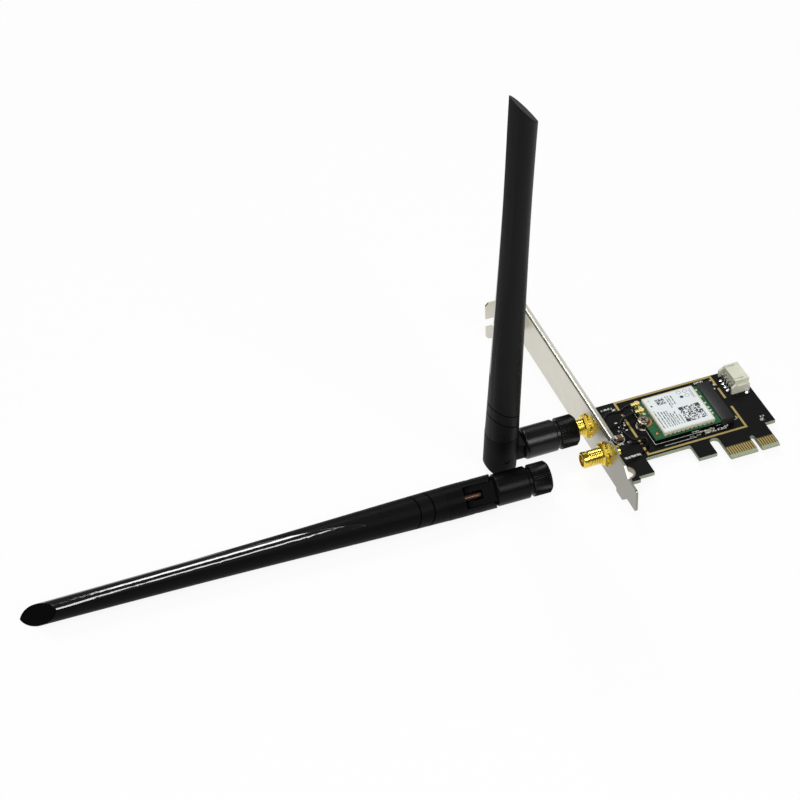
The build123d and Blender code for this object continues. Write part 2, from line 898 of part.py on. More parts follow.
# Antenna jacks with insulator, centre pin, hexagon nut and toothed washer
hexagon_end = -bracket_sheet - jack_hexagon_depth
for number, jack_level in ((1, jack_first), (2, jack_second)):
    jack_frame = Plane(origin=(0, jack_level, jack_height), x_dir=(0, 0, 1), z_dir=(-1, 0, 0))
    with BuildPart() as jack_body:
        with BuildSketch(section(jack_frame)):
            with BuildLine():
                Polyline(
                    (0, -jack_barrel_end),
                    (jack_barrel / 2, -jack_barrel_end),
                    (jack_barrel / 2, hexagon_end),
                    (jack_thread / 2, hexagon_end),
                    (jack_thread / 2, jack_reach - jack_chamfer),
                    (jack_thread / 2 - jack_chamfer, jack_reach),
                    (jack_mouth / 2, jack_reach),
                    (jack_mouth / 2, jack_reach - jack_mouth_depth),
                    (jack_insulator / 2, jack_reach - jack_mouth_depth),
                    (jack_insulator / 2, -jack_insulator_end),
                    (0, -jack_insulator_end),
                    close=True,
                )
            make_face()
        revolve(axis=spindle(jack_frame))
        with BuildSketch(jack_frame.offset(hexagon_end)):
            RegularPolygon(jack_hexagon / 2, 6, major_radius=False)
            Circle(jack_insulator / 2, mode=Mode.SUBTRACT)
        extrude(amount=jack_hexagon_depth)
        with BuildSketch(jack_frame.offset(-jack_barrel_end)):
            Circle(pigtail_diameter / 2 + fit_gap)
        extrude(amount=pigtail_grip, mode=Mode.SUBTRACT)
    write(jack_body, f"jack_{number}_body")

    with BuildPart() as jack_core:
        with BuildSketch(jack_frame.offset(-jack_insulator_end)):
            Circle(jack_insulator / 2 - fit_gap)
            Circle(jack_pin / 2 + fit_gap, mode=Mode.SUBTRACT)
        extrude(amount=jack_reach - jack_mouth_depth + jack_insulator_end)
    write(jack_core, f"jack_{number}_insulator")

    with BuildPart() as jack_contact:
        with BuildSketch(jack_frame.offset(-jack_insulator_end)):
            Circle(jack_pin / 2)
        extrude(amount=jack_reach - jack_pin_inset + jack_insulator_end)
    write(jack_contact, f"jack_{number}_pin")

    with BuildPart() as jack_nut:
        with BuildSketch(jack_frame.offset(washer_thickness)):
            RegularPolygon(nut_hexagon / 2, 6, major_radius=False)
        extrude(amount=nut_height)
        chamfer(jack_nut.edges().group_by(Axis.X)[0], nut_chamfer)
        with BuildSketch(jack_frame):
            Circle(jack_thread / 2 + fit_gap)
        extrude(amount=washer_thickness + nut_height, mode=Mode.SUBTRACT)
    write(jack_nut, f"jack_{number}_nut")

    with BuildPart() as jack_washer:
        with BuildSketch(jack_frame):
            Circle(washer_diameter / 2)
            with PolarLocations(washer_diameter / 2, washer_teeth):
                Rectangle(2 * washer_tooth, washer_tooth_width)
            Circle(jack_hole / 2, mode=Mode.SUBTRACT)
        extrude(amount=washer_thickness)
    write(jack_washer, f"jack_{number}_washer")

# Stations of the antenna that follow from its sizes
collar_back = collar_front - collar_length
nut_front = collar_front - collar_lip
nut_back = collar_back + collar_lip
nut_wall = nut_back + nut_back_wall
flange_back = nut_wall + turning_gap
flange_front = flange_back + ferrule_flange_thickness
neck_rear = collar_back - turning_gap
neck_diameter = base_diameter - 2 * neck_depth
spigot_end = knuckle_top + spigot_length
tip_middle = blade_length - tip_width / 2 * tan(radians(tip_angle))


def collar(frame: Plane) -> BuildPart:
    """Round plastic cover of the coupling nut."""
    inner = collar_diameter / 2 - collar_wall
    passage = ferrule_diameter / 2 + 2 * turning_gap
    with BuildPart() as piece:
        with BuildSketch(section(frame)):
            with BuildLine():
                Polyline(
                    (inner, -collar_front),
                    (collar_diameter / 2 - collar_chamfer, -collar_front),
                    (collar_diameter / 2, -collar_front + collar_chamfer),
                    (collar_diameter / 2, -collar_back - collar_lip),
                    (collar_diameter / 2 - collar_lip, -collar_back),
                    (passage, -collar_back),
                    (passage, -nut_back),
                    (inner, -nut_back),
                    close=True,
                )
            make_face()
        revolve(axis=spindle(frame))
    return piece


def coupling_nut(frame: Plane) -> BuildPart:
    """Brass nut inside the collar, bored for the jack's thread and, at its back, for the ferrule."""
    with BuildPart() as piece:
        with BuildSketch(section(frame)):
            with BuildLine():
                Polyline(
                    (jack_thread / 2 + thread_gap, -nut_front),
                    (collar_diameter / 2 - collar_wall - fit_gap, -nut_front),
                    (collar_diameter / 2 - collar_wall - fit_gap, -nut_back),
                    (ferrule_diameter / 2 + turning_gap, -nut_back),
                    (ferrule_diameter / 2 + turning_gap, -nut_wall),
                    (jack_thread / 2 + thread_gap, -nut_wall),
                    close=True,
                )
            make_face()
        revolve(axis=spindle(frame))
    return piece


def ferrule(frame: Plane) -> BuildPart:
    """Outer conductor: nose that enters the jack, flange that the nut pulls on, shank in the base."""
    with BuildPart() as piece:
        with BuildSketch(section(frame)):
            with BuildLine():
                Polyline(
                    (ferrule_bore / 2, -mating_face),
                    (ferrule_nose / 2, -mating_face),
                    (ferrule_nose / 2, -flange_front),
                    (ferrule_flange / 2, -flange_front),
                    (ferrule_flange / 2, -flange_back),
                    (ferrule_diameter / 2, -flange_back),
                    (ferrule_diameter / 2, -ferrule_inner),
                    (ferrule_bore / 2, -ferrule_inner),
                    close=True,
                )
            make_face()
        revolve(axis=spindle(frame))
    return piece


def ferrule_insulator(frame: Plane) -> BuildPart:
    """White sleeve between the ferrule and the centre contact."""
    with BuildPart() as piece:
        with BuildSketch(frame.offset(-mating_face)):
            Circle(ferrule_bore / 2 - fit_gap)
            Circle(contact_diameter / 2 + fit_gap, mode=Mode.SUBTRACT)
        extrude(amount=mating_face - ferrule_inner)
    return piece


def ferrule_contact(frame: Plane) -> BuildPart:
    """Centre contact, bored at its front for the jack's pin."""
    front = mating_face - contact_inset
    with BuildPart() as piece:
        with BuildSketch(frame.offset(-front)):
            Circle(contact_diameter / 2)
        extrude(amount=front - ferrule_inner)
        with BuildSketch(frame.offset(-front)):
            Circle(jack_pin / 2 + thread_gap)
        extrude(amount=contact_depth, mode=Mode.SUBTRACT)
    return piece


def antenna_base(frame: Plane) -> BuildPart:
    """Round base with a neck behind the collar and a slotted yoke that carries the hinge."""
    with BuildPart() as piece:
        with BuildSketch(section(frame)) as profile:
            with BuildLine():
                Polyline(
                    (0, -neck_rear),
                    (neck_diameter / 2, -neck_rear),
                    (neck_diameter / 2, -base_rear),
                    (base_diameter / 2, -base_rear),
                    (base_diameter / 2, -base_front),
                    (0, -base_front),
                    close=True,
                )
            make_face()
            fillet(profile.vertices().sort_by_distance((base_diameter / 2, -base_front))[0], base_shoulder)
            fillet(profile.vertices().sort_by_distance((base_diameter / 2, -base_rear))[0], base_rear_round)
        revolve(axis=spindle(frame))
        with BuildSketch(section(frame)):
            Circle(yoke_radius)
            Rectangle(2 * yoke_radius, base_front + base_shoulder, align=(Align.CENTER, Align.MAX))
        extrude(amount=yoke_width / 2, both=True)
        with BuildSketch(section(frame)):
            with Locations((0, -yoke_slot_depth)):
                Rectangle(base_diameter, yoke_slot_depth + 2 * yoke_radius, align=(Align.CENTER, Align.MIN))
        extrude(amount=yoke_slot / 2, both=True, mode=Mode.SUBTRACT)
        with BuildSketch(section(frame)):
            Circle(hinge_pin / 2 + hinge_pin_gap)
        extrude(amount=yoke_width, both=True, mode=Mode.SUBTRACT)
        with BuildSketch(frame.offset(-neck_rear)):
            Circle(ferrule_diameter / 2 + fit_gap)
        extrude(amount=neck_rear - ferrule_inner, mode=Mode.SUBTRACT)
        with BuildSketch(frame.offset(-ferrule_inner)):
            Circle(coax_bore / 2)
        extrude(amount=ferrule_inner, mode=Mode.SUBTRACT)
    return piece


def base_coax(frame: Plane) -> BuildPart:
    """Coaxial cable from the ferrule up to the bend at the hinge."""
    with BuildPart() as piece:
        with BuildSketch(frame.offset(-ferrule_inner)):
            Circle(coax_diameter / 2)
        extrude(amount=ferrule_inner - coax_bend)
    return piece


def knuckle(frame: Plane) -> BuildPart:
    """Hinge knuckle: rounded about the hinge, slotted for the yoke on its window side, with a spigot."""
    with BuildPart() as piece:
        with BuildSketch(frame.offset(-knuckle_round)):
            Circle(knuckle_diameter / 2)
        extrude(amount=knuckle_round + knuckle_top)
        with BuildSketch(frame.offset(knuckle_top)):
            Circle(spigot_diameter / 2)
        extrude(amount=spigot_length)
        with BuildSketch(section(frame)):
            Rectangle(2 * knuckle_diameter, 2 * knuckle_round, align=(Align.CENTER, Align.MAX))
            Circle(knuckle_round, mode=Mode.SUBTRACT)
        extrude(amount=knuckle_diameter, both=True, mode=Mode.SUBTRACT)
        with BuildSketch(section(frame)):
            Circle(knuckle_pocket)
            with Locations((0, knuckle_pocket)):
                Rectangle(knuckle_diameter, 2 * knuckle_round, align=(Align.MIN, Align.MAX))
            with Locations((-knuckle_pocket, 0)):
                Rectangle(knuckle_diameter, 2 * knuckle_round, align=(Align.MIN, Align.MAX))
        extrude(amount=knuckle_slot / 2, both=True, mode=Mode.SUBTRACT)
        with BuildSketch(section(frame)):
            Circle(hinge_pin / 2 + fit_gap)
        extrude(amount=knuckle_diameter, both=True, mode=Mode.SUBTRACT)
        with BuildSketch(frame):
            Circle(coax_bore / 2)
        extrude(amount=spigot_end, mode=Mode.SUBTRACT)
    return piece


def hinge_pins(frame: Plane) -> BuildPart:
    """Two stub pins, one through each side of the knuckle into the yoke."""
    with BuildPart() as piece:
        for side in (1, -1):
            outward = Plane(origin=frame.origin, x_dir=frame.x_dir, z_dir=frame.y_dir * side)
            with BuildSketch(outward.offset(yoke_slot / 2 + turning_gap)):
                Circle(hinge_pin / 2)
            extrude(amount=knuckle_diameter / 2 - hinge_pin_inset - yoke_slot / 2 - turning_gap)
    return piece


def blade_sheath(frame: Plane) -> BuildPart:
    """Moulded blade: round and grooved aslant at its root, drawn into a lens section, cut off aslant."""
    core = (blade_root + taper_diameter) / 4 - groove_depth
    with BuildPart() as piece:
        for station, width, thickness in (
            (knuckle_top, blade_root, blade_root),
            (taper_station, taper_diameter, taper_diameter),
            (crease_station, crease_width, crease_thickness),
            (waist_station, waist_width, waist_thickness),
            (flare_station, flare_width, flare_thickness),
            (blade_length + fit_gap, tip_width, tip_thickness),
        ):
            with BuildSketch(frame.offset(station)):
                with BuildLine():
                    ThreePointArc((-width / 2, 0), (0, thickness / 2), (width / 2, 0))
                    ThreePointArc((width / 2, 0), (0, -thickness / 2), (-width / 2, 0))
                make_face()
        loft()
        split(bisect_by=turned(frame.offset(tip_middle), 0, tip_angle, 0), keep=Keep.BOTTOM)
        for station in groove_stations:
            with BuildSketch(turned(frame.offset(station), 0, groove_tilt, 0)):
                Circle(blade_root)
                Ellipse(core / cos(radians(groove_tilt)), core, mode=Mode.SUBTRACT)
            extrude(amount=groove_width / 2, both=True, mode=Mode.SUBTRACT)
        with BuildSketch(frame.offset(knuckle_top)):
            Circle(spigot_diameter / 2 + fit_gap)
        extrude(amount=spigot_length + radiator_gap, mode=Mode.SUBTRACT)
        with BuildSketch(frame.offset(spigot_end)):
            Circle(radiator_sleeve / 2 + radiator_gap)
        extrude(amount=radiator_end - spigot_end + radiator_gap, mode=Mode.SUBTRACT)
    return piece


def blade_coax(frame: Plane) -> BuildPart:
    """Coaxial cable from the bend at the hinge up through the radiator's sleeve."""
    with BuildPart() as piece:
        with BuildSketch(frame.offset(coax_bend)):
            Circle(coax_diameter / 2)
        extrude(amount=radiator_sleeve_end - radiator_wall - coax_bend)
    return piece


def radiator(frame: Plane) -> BuildPart:
    """Brass sleeve with the upper wire of the dipole, standing on the spigot."""
    with BuildPart() as piece:
        with BuildSketch(frame.offset(spigot_end)):
            Circle(radiator_sleeve / 2)
        extrude(amount=radiator_sleeve_end - spigot_end)
        with BuildSketch(frame.offset(spigot_end)):
            Circle(radiator_sleeve / 2 - radiator_wall)
        extrude(amount=radiator_sleeve_end - spigot_end - radiator_wall, mode=Mode.SUBTRACT)
        with BuildSketch(frame.offset(radiator_sleeve_end)):
            Circle(radiator_wire / 2)
        extrude(amount=radiator_end - radiator_sleeve_end)
    return piece


# Fitted antenna on the first jack, bent upright, and loose antenna lying straight on the table
fitted_x = -jack_reach + jack_mouth_depth - mating_gap - mating_face
loose_z = table_height + knuckle_diameter / 2
loose_droop = degrees(atan((knuckle_diameter - (tip_width + tip_thickness) / 2) / 2 / blade_length))
straight = Plane(origin=(fitted_x, jack_first, jack_height), x_dir=(0, 0, 1), z_dir=(-1, 0, 0))
fitted_base = turned(straight, 0, 0, -fitted_lean)
fitted_blade = turned(fitted_base, 0, fitted_tilt, 0)
lying = Plane(origin=(loose_x, loose_y, loose_z), x_dir=(0, 0, 1), z_dir=(-1, 0, 0))
loose_frame = turned(lying, -loose_yaw, -loose_droop, -loose_roll)
for number, base_frame, blade_frame in ((1, fitted_base, fitted_blade), (2, loose_frame, loose_frame)):
    for name, make, frame in (
        ("collar", collar, base_frame),
        ("nut", coupling_nut, base_frame),
        ("ferrule", ferrule, base_frame),
        ("insulator", ferrule_insulator, base_frame),
        ("contact", ferrule_contact, base_frame),
        ("base", antenna_base, base_frame),
        ("base_coax", base_coax, base_frame),
        ("knuckle", knuckle, blade_frame),
        ("hinge_pins", hinge_pins, blade_frame),
        ("blade", blade_sheath, blade_frame),
        ("blade_coax", blade_coax, blade_frame),
        ("radiator", radiator, blade_frame),
    ):
        write(make(frame), f"antenna_{number}_{name}")
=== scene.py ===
"""Looks of a plug-in wireless network card with a slot bracket and two hinged stick antennas.

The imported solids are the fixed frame. The classes below dress them and add what the solids leave out.
Lengths are in millimetres of the card's own frame, and MM turns them into Blender's metres.
"""

from __future__ import annotations

import json
import logging
import math
from dataclasses import dataclass, field
from enum import Enum
from functools import reduce

import bpy
from mathutils import Matrix, Vector

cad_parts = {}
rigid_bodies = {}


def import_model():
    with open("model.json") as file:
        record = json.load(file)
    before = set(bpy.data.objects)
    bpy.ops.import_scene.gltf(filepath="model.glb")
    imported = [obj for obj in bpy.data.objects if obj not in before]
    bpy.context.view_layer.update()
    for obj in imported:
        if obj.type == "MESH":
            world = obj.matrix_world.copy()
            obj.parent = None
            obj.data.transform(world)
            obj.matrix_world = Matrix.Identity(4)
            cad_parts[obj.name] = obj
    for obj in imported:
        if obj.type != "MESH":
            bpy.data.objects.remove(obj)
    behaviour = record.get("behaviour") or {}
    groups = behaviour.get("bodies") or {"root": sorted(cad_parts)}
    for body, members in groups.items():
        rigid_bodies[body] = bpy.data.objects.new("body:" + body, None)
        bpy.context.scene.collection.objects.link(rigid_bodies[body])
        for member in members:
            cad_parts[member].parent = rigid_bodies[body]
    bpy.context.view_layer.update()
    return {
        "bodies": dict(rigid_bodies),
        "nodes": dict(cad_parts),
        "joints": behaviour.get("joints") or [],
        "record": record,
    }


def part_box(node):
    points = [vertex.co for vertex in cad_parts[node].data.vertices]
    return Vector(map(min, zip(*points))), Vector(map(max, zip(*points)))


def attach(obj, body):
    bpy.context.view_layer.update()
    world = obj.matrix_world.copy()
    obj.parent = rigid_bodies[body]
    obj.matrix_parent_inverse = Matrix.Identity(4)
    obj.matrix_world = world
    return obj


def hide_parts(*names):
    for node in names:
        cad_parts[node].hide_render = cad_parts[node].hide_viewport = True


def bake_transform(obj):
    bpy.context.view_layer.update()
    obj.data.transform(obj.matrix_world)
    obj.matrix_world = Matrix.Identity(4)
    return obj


log = logging.getLogger("network_card")

MM = 0.001
SMOOTH_ANGLE = math.radians(32)
MERGE_DISTANCE = 0.005 * MM
LEVEL_FACE = 0.98
Colour = tuple[float, float, float]
Point = tuple[float, float, float]
Pair = tuple[float, float]
Socket = bpy.types.NodeSocket
Value = Socket | float | tuple
Material = bpy.types.Material


class Sheen(Enum):
    """How rough a surface is, from mirror-like to dull."""

    POLISHED = 0.08
    GLOSS = 0.17
    SATIN = 0.3
    SOFT = 0.45
    MATT = 0.6
    DULL = 0.8


class Body(str, Enum):
    """Bodies of the card that new pieces ride on."""

    CARD = "card"
    SWIVEL_1 = "antenna_1_swivel"
    ARM_1 = "antenna_1_arm"
    COUPLING_1 = "antenna_1_coupling"
    ARM_2 = "antenna_2_arm"
    COUPLING_2 = "antenna_2_coupling"


@dataclass(frozen=True)
class Mark:
    """A printed rectangle, solid or broken up into small random cells like fine print.

    Attributes:
        centre: middle of the rectangle in X and Y.
        size: its two sides.
        cell: sides of one cell, or None for a solid mark.
        cover: share of the cells that is printed.
    """

    centre: Pair
    size: Pair
    cell: Pair | None = None
    cover: float = 0.55


@dataclass(frozen=True)
class Dot:
    """A printed or plated disc, or a ring where it has a bore."""

    centre: Pair
    radius: float
    colour: Colour
    bore: float = 0.0


class Shader:
    """A node material in the making, with its patterns laid out in millimetres of the card's frame."""

    def __init__(self, name: str) -> None:
        """Start a material with one principled surface.

        Args:
            name: name of the new material.
        """
        self.material = bpy.data.materials.new(name)
        self.material.use_nodes = True
        self.nodes = self.material.node_tree.nodes
        self.links = self.material.node_tree.links
        self.surface = self.nodes["Principled BSDF"]
        place = self.nodes.new("ShaderNodeTexCoord").outputs["Object"]
        self.point = self.vector("SCALE", place, scale=1 / MM)

    def feed(self, socket: Socket, value: Value | None) -> None:
        """Link a socket to another one, or set its plain value.

        Args:
            socket: input to fill.
            value: output socket, number or tuple; None leaves the input alone.
        """
        if isinstance(value, bpy.types.NodeSocket):
            self.links.new(value, socket)
        elif value is not None:
            socket.default_value = value

    def set(self, **inputs: Value) -> None:
        """Fill inputs of the principled surface.

        Args:
            inputs: values by the inputs' names, with underscores for spaces.
        """
        for name, value in inputs.items():
            if isinstance(value, tuple) and len(value) == 3:
                value = (*value, 1.0)
            self.feed(self.surface.inputs[name.replace("_", " ")], value)

    def add(self, kind: str, *values: Value | None, **options: str) -> bpy.types.Node:
        """Add one node.

        Args:
            kind: type of the node.
            values: its inputs in order, with None for those left alone.
            options: its options by name.

        Returns:
            The node.
        """
        node = self.nodes.new(kind)
        for name, choice in options.items():
            setattr(node, name, choice)
        for socket, value in zip(node.inputs, values):
            self.feed(socket, value)
        return node

    def vector(self, operation: str, a: Value, b: Value | None = None, scale: float | None = None) -> Socket:
        """Work out a sum of vectors, with b and scale for the operations that have them."""
        return self.add("ShaderNodeVectorMath", a, b, None, scale, operation=operation).outputs["Vector"]

    def math(self, operation: str, a: Value, b: Value | None = None, c: Value | None = None) -> Socket:
        """Work out a sum of numbers, with b and c for the operations that have them."""
        return self.add("ShaderNodeMath", a, b, c, operation=operation).outputs[0]

    def axes(self, vector: Socket) -> tuple[Socket, Socket, Socket]:
        """Take a vector apart into its three numbers."""
        return tuple(self.add("ShaderNodeSeparateXYZ", vector).outputs)

    def into(self, frame: Matrix) -> Socket:
        """Give the point in millimetres along the axes of a frame, whose place is in metres."""
        place, turn = frame.translation / MM, frame.to_euler()
        return self.add("ShaderNodeMapping", self.point, place, turn, vector_type="TEXTURE").outputs["Vector"]

    def noise(self, size: float, detail: float = 3.0, stretch: Point = (1.0, 1.0, 1.0)) -> Socket:
        """Add soft noise.

        Args:
            size: size of one blotch in millimetres.
            detail: finer layers on top of it.
            stretch: how many times longer the blotches are along each axis.

        Returns:
            A number about one half.
        """
        factors = tuple(1 / (size * s) for s in stretch)
        place = self.vector("MULTIPLY", self.point, factors)
        return self.add("ShaderNodeTexNoise", place, None, 1.0, detail).outputs["Fac"]

    def speckle(self, cell: Pair) -> Socket:
        """Give each cell of a grid in X and Y its own random number from 0 to 1."""
        steps = self.vector("FLOOR", self.vector("MULTIPLY", self.point, (1 / cell[0], 1 / cell[1], 0)))
        return self.add("ShaderNodeTexWhiteNoise", steps).outputs["Value"]

    def ramp(self, value: Socket, low: float, high: float, start: float = 0.0, end: float = 1.0) -> Socket:
        """Map a number smoothly from the span of low to high onto that of start to end."""
        node = self.add("ShaderNodeMapRange", value, low, high, start, end, interpolation_type="SMOOTHSTEP")
        return node.outputs["Result"]

    def mix(self, share: Value, a: Value, b: Value) -> Socket:
        """Blend two colours.

        Args:
            share: 0 for the first colour and 1 for the second.
            a: first colour.
            b: second colour.

        Returns:
            The blended colour.
        """
        node = self.nodes.new("ShaderNodeMix")
        node.data_type = "RGBA"
        self.feed(node.inputs[0], share)
        for socket, colour in ((node.inputs[6], a), (node.inputs[7], b)):
            self.feed(socket, (*colour, 1.0) if isinstance(colour, tuple) else colour)
        return node.outputs[2]

    def mottle(self, cloud: Socket, colour: Colour, low: float = 0.85, high: float = 1.15) -> Socket:
        """Vary a colour with a noise, between two factors of itself."""
        return self.mix(cloud, shade(colour, low), shade(colour, high))

    def box(self, centre: Pair, size: Pair) -> Socket:
        """Mask one rectangle in X and Y.

        Args:
            centre: its middle.
            size: its two sides.

        Returns:
            1 inside it and 0 outside.
        """
        away = self.vector("ABSOLUTE", self.vector("SUBTRACT", self.point, (*centre, 0)))
        x, y, _ = self.axes(self.vector("SUBTRACT", away, (size[0] / 2, size[1] / 2, 0)))
        return self.math("LESS_THAN", self.math("MAXIMUM", x, y), 0.0)

    def disc(self, dot: Dot) -> Socket:
        """Mask one disc or ring in X and Y.

        Args:
            dot: the disc or ring.

        Returns:
            1 on it and 0 elsewhere.
        """
        flat = self.vector("MULTIPLY", self.vector("SUBTRACT", self.point, (*dot.centre, 0)), (1, 1, 0))
        distance = self.add("ShaderNodeVectorMath", flat, operation="LENGTH").outputs["Value"]
        inside = self.math("LESS_THAN", distance, dot.radius)
        return self.both(inside, self.math("GREATER_THAN", distance, dot.bore)) if dot.bore else inside

    def printed(self, marks: tuple[Mark, ...]) -> Socket:
        """Mask all the marks of a print.

        Args:
            marks: what is printed.

        Returns:
            1 on the ink and 0 elsewhere.
        """
        masks = []
        for mark in marks:
            mask = self.box(mark.centre, mark.size)
            if mark.cell:
                mask = self.both(mask, self.math("LESS_THAN", self.speckle(mark.cell), mark.cover))
            masks.append(mask)
        return self.any(masks)

    def any(self, masks: list[Socket]) -> Socket:
        """Join masks: 1 where any of them is."""
        return reduce(lambda a, b: self.math("MAXIMUM", a, b), masks)

    def both(self, *masks: Socket) -> Socket:
        """Overlap masks: 1 where all of them are."""
        return reduce(lambda a, b: self.math("MULTIPLY", a, b), masks)

    def upward(self) -> Socket:
        """Mask the faces that look straight up or down the card's Z axis."""
        normal = self.nodes.new("ShaderNodeNewGeometry").outputs["True Normal"]
        return self.math("GREATER_THAN", self.math("ABSOLUTE", self.axes(normal)[2]), LEVEL_FACE)

    def bump(self, height: Socket, depth: float) -> None:
        """Raise the surface by a height map.

        Args:
            height: map from 0 to 1.
            depth: rise in millimetres at 1.
        """
        node = self.nodes.new("ShaderNodeBump")
        node.inputs["Distance"].default_value = depth * MM
        self.feed(node.inputs["Height"], height)
        self.feed(self.surface.inputs["Normal"], node.outputs["Normal"])


def shade(colour: Colour, factor: float) -> Colour:
    """Darken or lighten a colour by a factor."""
    return tuple(min(1.0, channel * factor) for channel in colour)


@dataclass(frozen=True)
class Moulded:
    """Moulded plastic with a fine eroded texture.

    Attributes:
        name: name of the material.
        colour: its colour.
        sheen: how rough it is.
        grain: size of the texture in millimetres.
        depth: depth of the texture in millimetres.
        gloss: how much light its skin throws back.
        frame: frame of a piece that turns dull along its Z axis, or None.
        shoulder: station in that frame where it turns dull.
    """

    name: str
    colour: Colour
    sheen: Sheen
    grain: float = 0.25
    depth: float = 0.02
    gloss: float = 0.4
    frame: Matrix | None = None
    shoulder: float = -8.8

    def make(self) -> Material:
        """Build the material.

        Returns:
            The new material.
        """
        shader = Shader(self.name)
        grain = shader.noise(self.grain, 4.0)
        cloud = shader.noise(40 * self.grain, 2.0)
        rough = shader.ramp(cloud, 0.3, 0.7, self.sheen.value - 0.05, self.sheen.value + 0.05)
        if self.frame:
            _, _, along = shader.axes(shader.into(self.frame))
            dull = shader.ramp(along, self.shoulder, self.shoulder + 0.2, 0.0, Sheen.DULL.value)
            rough = shader.math("MAXIMUM", rough, dull)
        shader.set(
            Base_Color=shader.mottle(cloud, self.colour),
            Roughness=rough,
            Specular_IOR_Level=self.gloss,
        )
        shader.bump(grain, self.depth)
        return shader.material


@dataclass(frozen=True)
class Plated:
    """Plated or turned metal with rub marks along one direction.

    Attributes:
        name: name of the material.
        colour: reflected colour.
        sheen: how rough it is.
        rub: how many times longer the marks are along each axis.
        stain: how much darker the dull patches are.
        scratch: depth of the marks in millimetres.
        painted_shade: places in Y where the painted shade starts and where it is full, and the share of the
            tone left there.
        mark_size: width of one rub mark in millimetres.
        cloud_size: size of one dull patch in millimetres.
    """

    name: str
    colour: Colour
    sheen: Sheen
    rub: Point = (1.0, 1.0, 1.0)
    stain: float = 0.12
    scratch: float = 0.0004
    painted_shade: Point | None = None
    mark_size: float = 0.35
    cloud_size: float = 6.0

    def make(self) -> Material:
        """Build the material.

        Returns:
            The new material.
        """
        shader = Shader(self.name)
        marks = shader.noise(self.mark_size, 2.0, self.rub)
        cloud = shader.noise(self.cloud_size, 3.0)
        tone = shader.mottle(cloud, self.colour, 1 - self.stain, 1.0)
        # Darker towards low Y: painted shade for the shadowed floor and antenna that the plated face mirrors
        # there.
        if self.painted_shade:
            start, end, share = self.painted_shade
            _, y, _ = shader.axes(shader.point)
            tone = shader.mix(shader.ramp(y, start, end), tone, shade(self.colour, share))
        shader.set(
            Metallic=1.0,
            Base_Color=tone,
            Roughness=shader.ramp(marks, 0.3, 0.7, self.sheen.value * 0.93, self.sheen.value * 1.07),
        )
        shader.bump(marks, self.scratch)
        return shader.material


@dataclass(frozen=True)
class BladePlastic:
    """Black blade: textured all over but for the polished face between its two creases, with a painted
    reflection band and a painted shade line on the plain face along one crease.

    Attributes:
        name: name of the material.
        frame: frame of the blade, with X across the creases, Y through the polished face and Z along it.
        colour: colour of the plastic.
        polish_colour: its colour where it is polished.
        matt: how much light the textured skin throws back.
        start: station where the polish starts at the creases.
        ridge: station where it has spread to the middle of the face.
        half_width: half of the distance between the creases.
        tip_middle: station where the oblique end face crosses the axis.
        tip_angle: slant of the end face in degrees.
        painted_band: how far the matt strip along one crease reaches across the plain face.
        bow: how strongly the edge of the polish is bowed.
        polish: how much light the polished face throws back.
        end_share: share of that which the end face has.
        plain_gloss: gloss all over, for a viewer that reads no map of it.
        grain: size of the texture in millimetres.
        relief: depth of the texture in millimetres.
    """

    name: str
    frame: Matrix
    colour: Colour = (0.0028, 0.0028, 0.0027)
    polish_colour: Colour = (0.002, 0.002, 0.002)
    matt: float = 0.11
    start: float = 50.0
    ridge: float = 104.0
    half_width: float = 5.6
    tip_middle: float = 164.4
    tip_angle: float = 50.0
    # painted_band: how far the painted reflection band along one crease reaches across the plain face.
    painted_band: float = 2.9
    bow: float = 1.6
    polish: float = 0.8
    end_share: float = 0.2
    plain_gloss: float = 0.3
    grain: float = 0.22
    relief: float = 0.03

    def make(self) -> Material:
        """Build the material.

        Returns:
            The new material.
        """
        shader = Shader(self.name)
        across, through, along = shader.axes(shader.into(self.frame))
        spread = shader.math("DIVIDE", shader.math("ABSOLUTE", across), self.half_width)
        bowed = shader.math("POWER", spread, self.bow)
        edge = shader.math("MULTIPLY_ADD", bowed, self.start - self.ridge, self.ridge)
        slant = math.radians(self.tip_angle)
        depth = shader.math("MULTIPLY", across, math.sin(slant))
        depth = shader.math("MULTIPLY_ADD", along, math.cos(slant), depth)
        below_end = shader.math("LESS_THAN", depth, self.tip_middle * math.cos(slant) - 0.1)
        polished = shader.both(
            shader.ramp(shader.math("SUBTRACT", along, edge), -0.4, 0.4),
            shader.math("GREATER_THAN", through, 0.0),
            below_end,
        )
        # Painted reflection: a lighter band on the plain face along one crease, widening from nothing at the
        # start of the polish.
        border = shader.ramp(along, self.start, self.ridge, -self.half_width, self.painted_band - self.half_width)
        inside = shader.math("SUBTRACT", across, border)
        plain = shader.both(shader.math("LESS_THAN", through, 0.0), below_end)
        painted_reflection = shader.both(plain, shader.ramp(inside, 0.15, -0.15))
        # Painted shade: a dark line along the band's edge, which is also pressed in as a groove in the bump.
        line = shader.both(plain, shader.ramp(shader.math("ABSOLUTE", inside), 0.3, 0.05))
        grain = shader.noise(self.grain, 4.0)
        cloud = shader.noise(9.0, 2.0)
        matt = shader.mottle(cloud, self.colour, 1.0, 1.4)
        matt = shader.mix(painted_reflection, matt, shade(self.colour, 1.9))
        matt = shader.mix(shader.math("MULTIPLY", line, 0.7), matt, self.polish_colour)
        skin = shader.ramp(polished, 0.0, 1.0, self.matt, self.polish)
        share = shader.ramp(below_end, 0.0, 1.0, self.end_share, 1.0)
        shader.set(Specular_IOR_Level=self.plain_gloss)
        shader.set(
            Base_Color=shader.mix(polished, matt, self.polish_colour),
            Roughness=shader.ramp(polished, 0.0, 1.0, Sheen.SOFT.value, Sheen.POLISHED.value),
            Specular_IOR_Level=shader.math("MULTIPLY", skin, share),
        )
        relief = shader.both(grain, shader.math("SUBTRACT", 1.0, polished))
        shader.bump(shader.math("SUBTRACT", relief, shader.math("MULTIPLY", line, 2.0)), self.relief)
        return shader.material


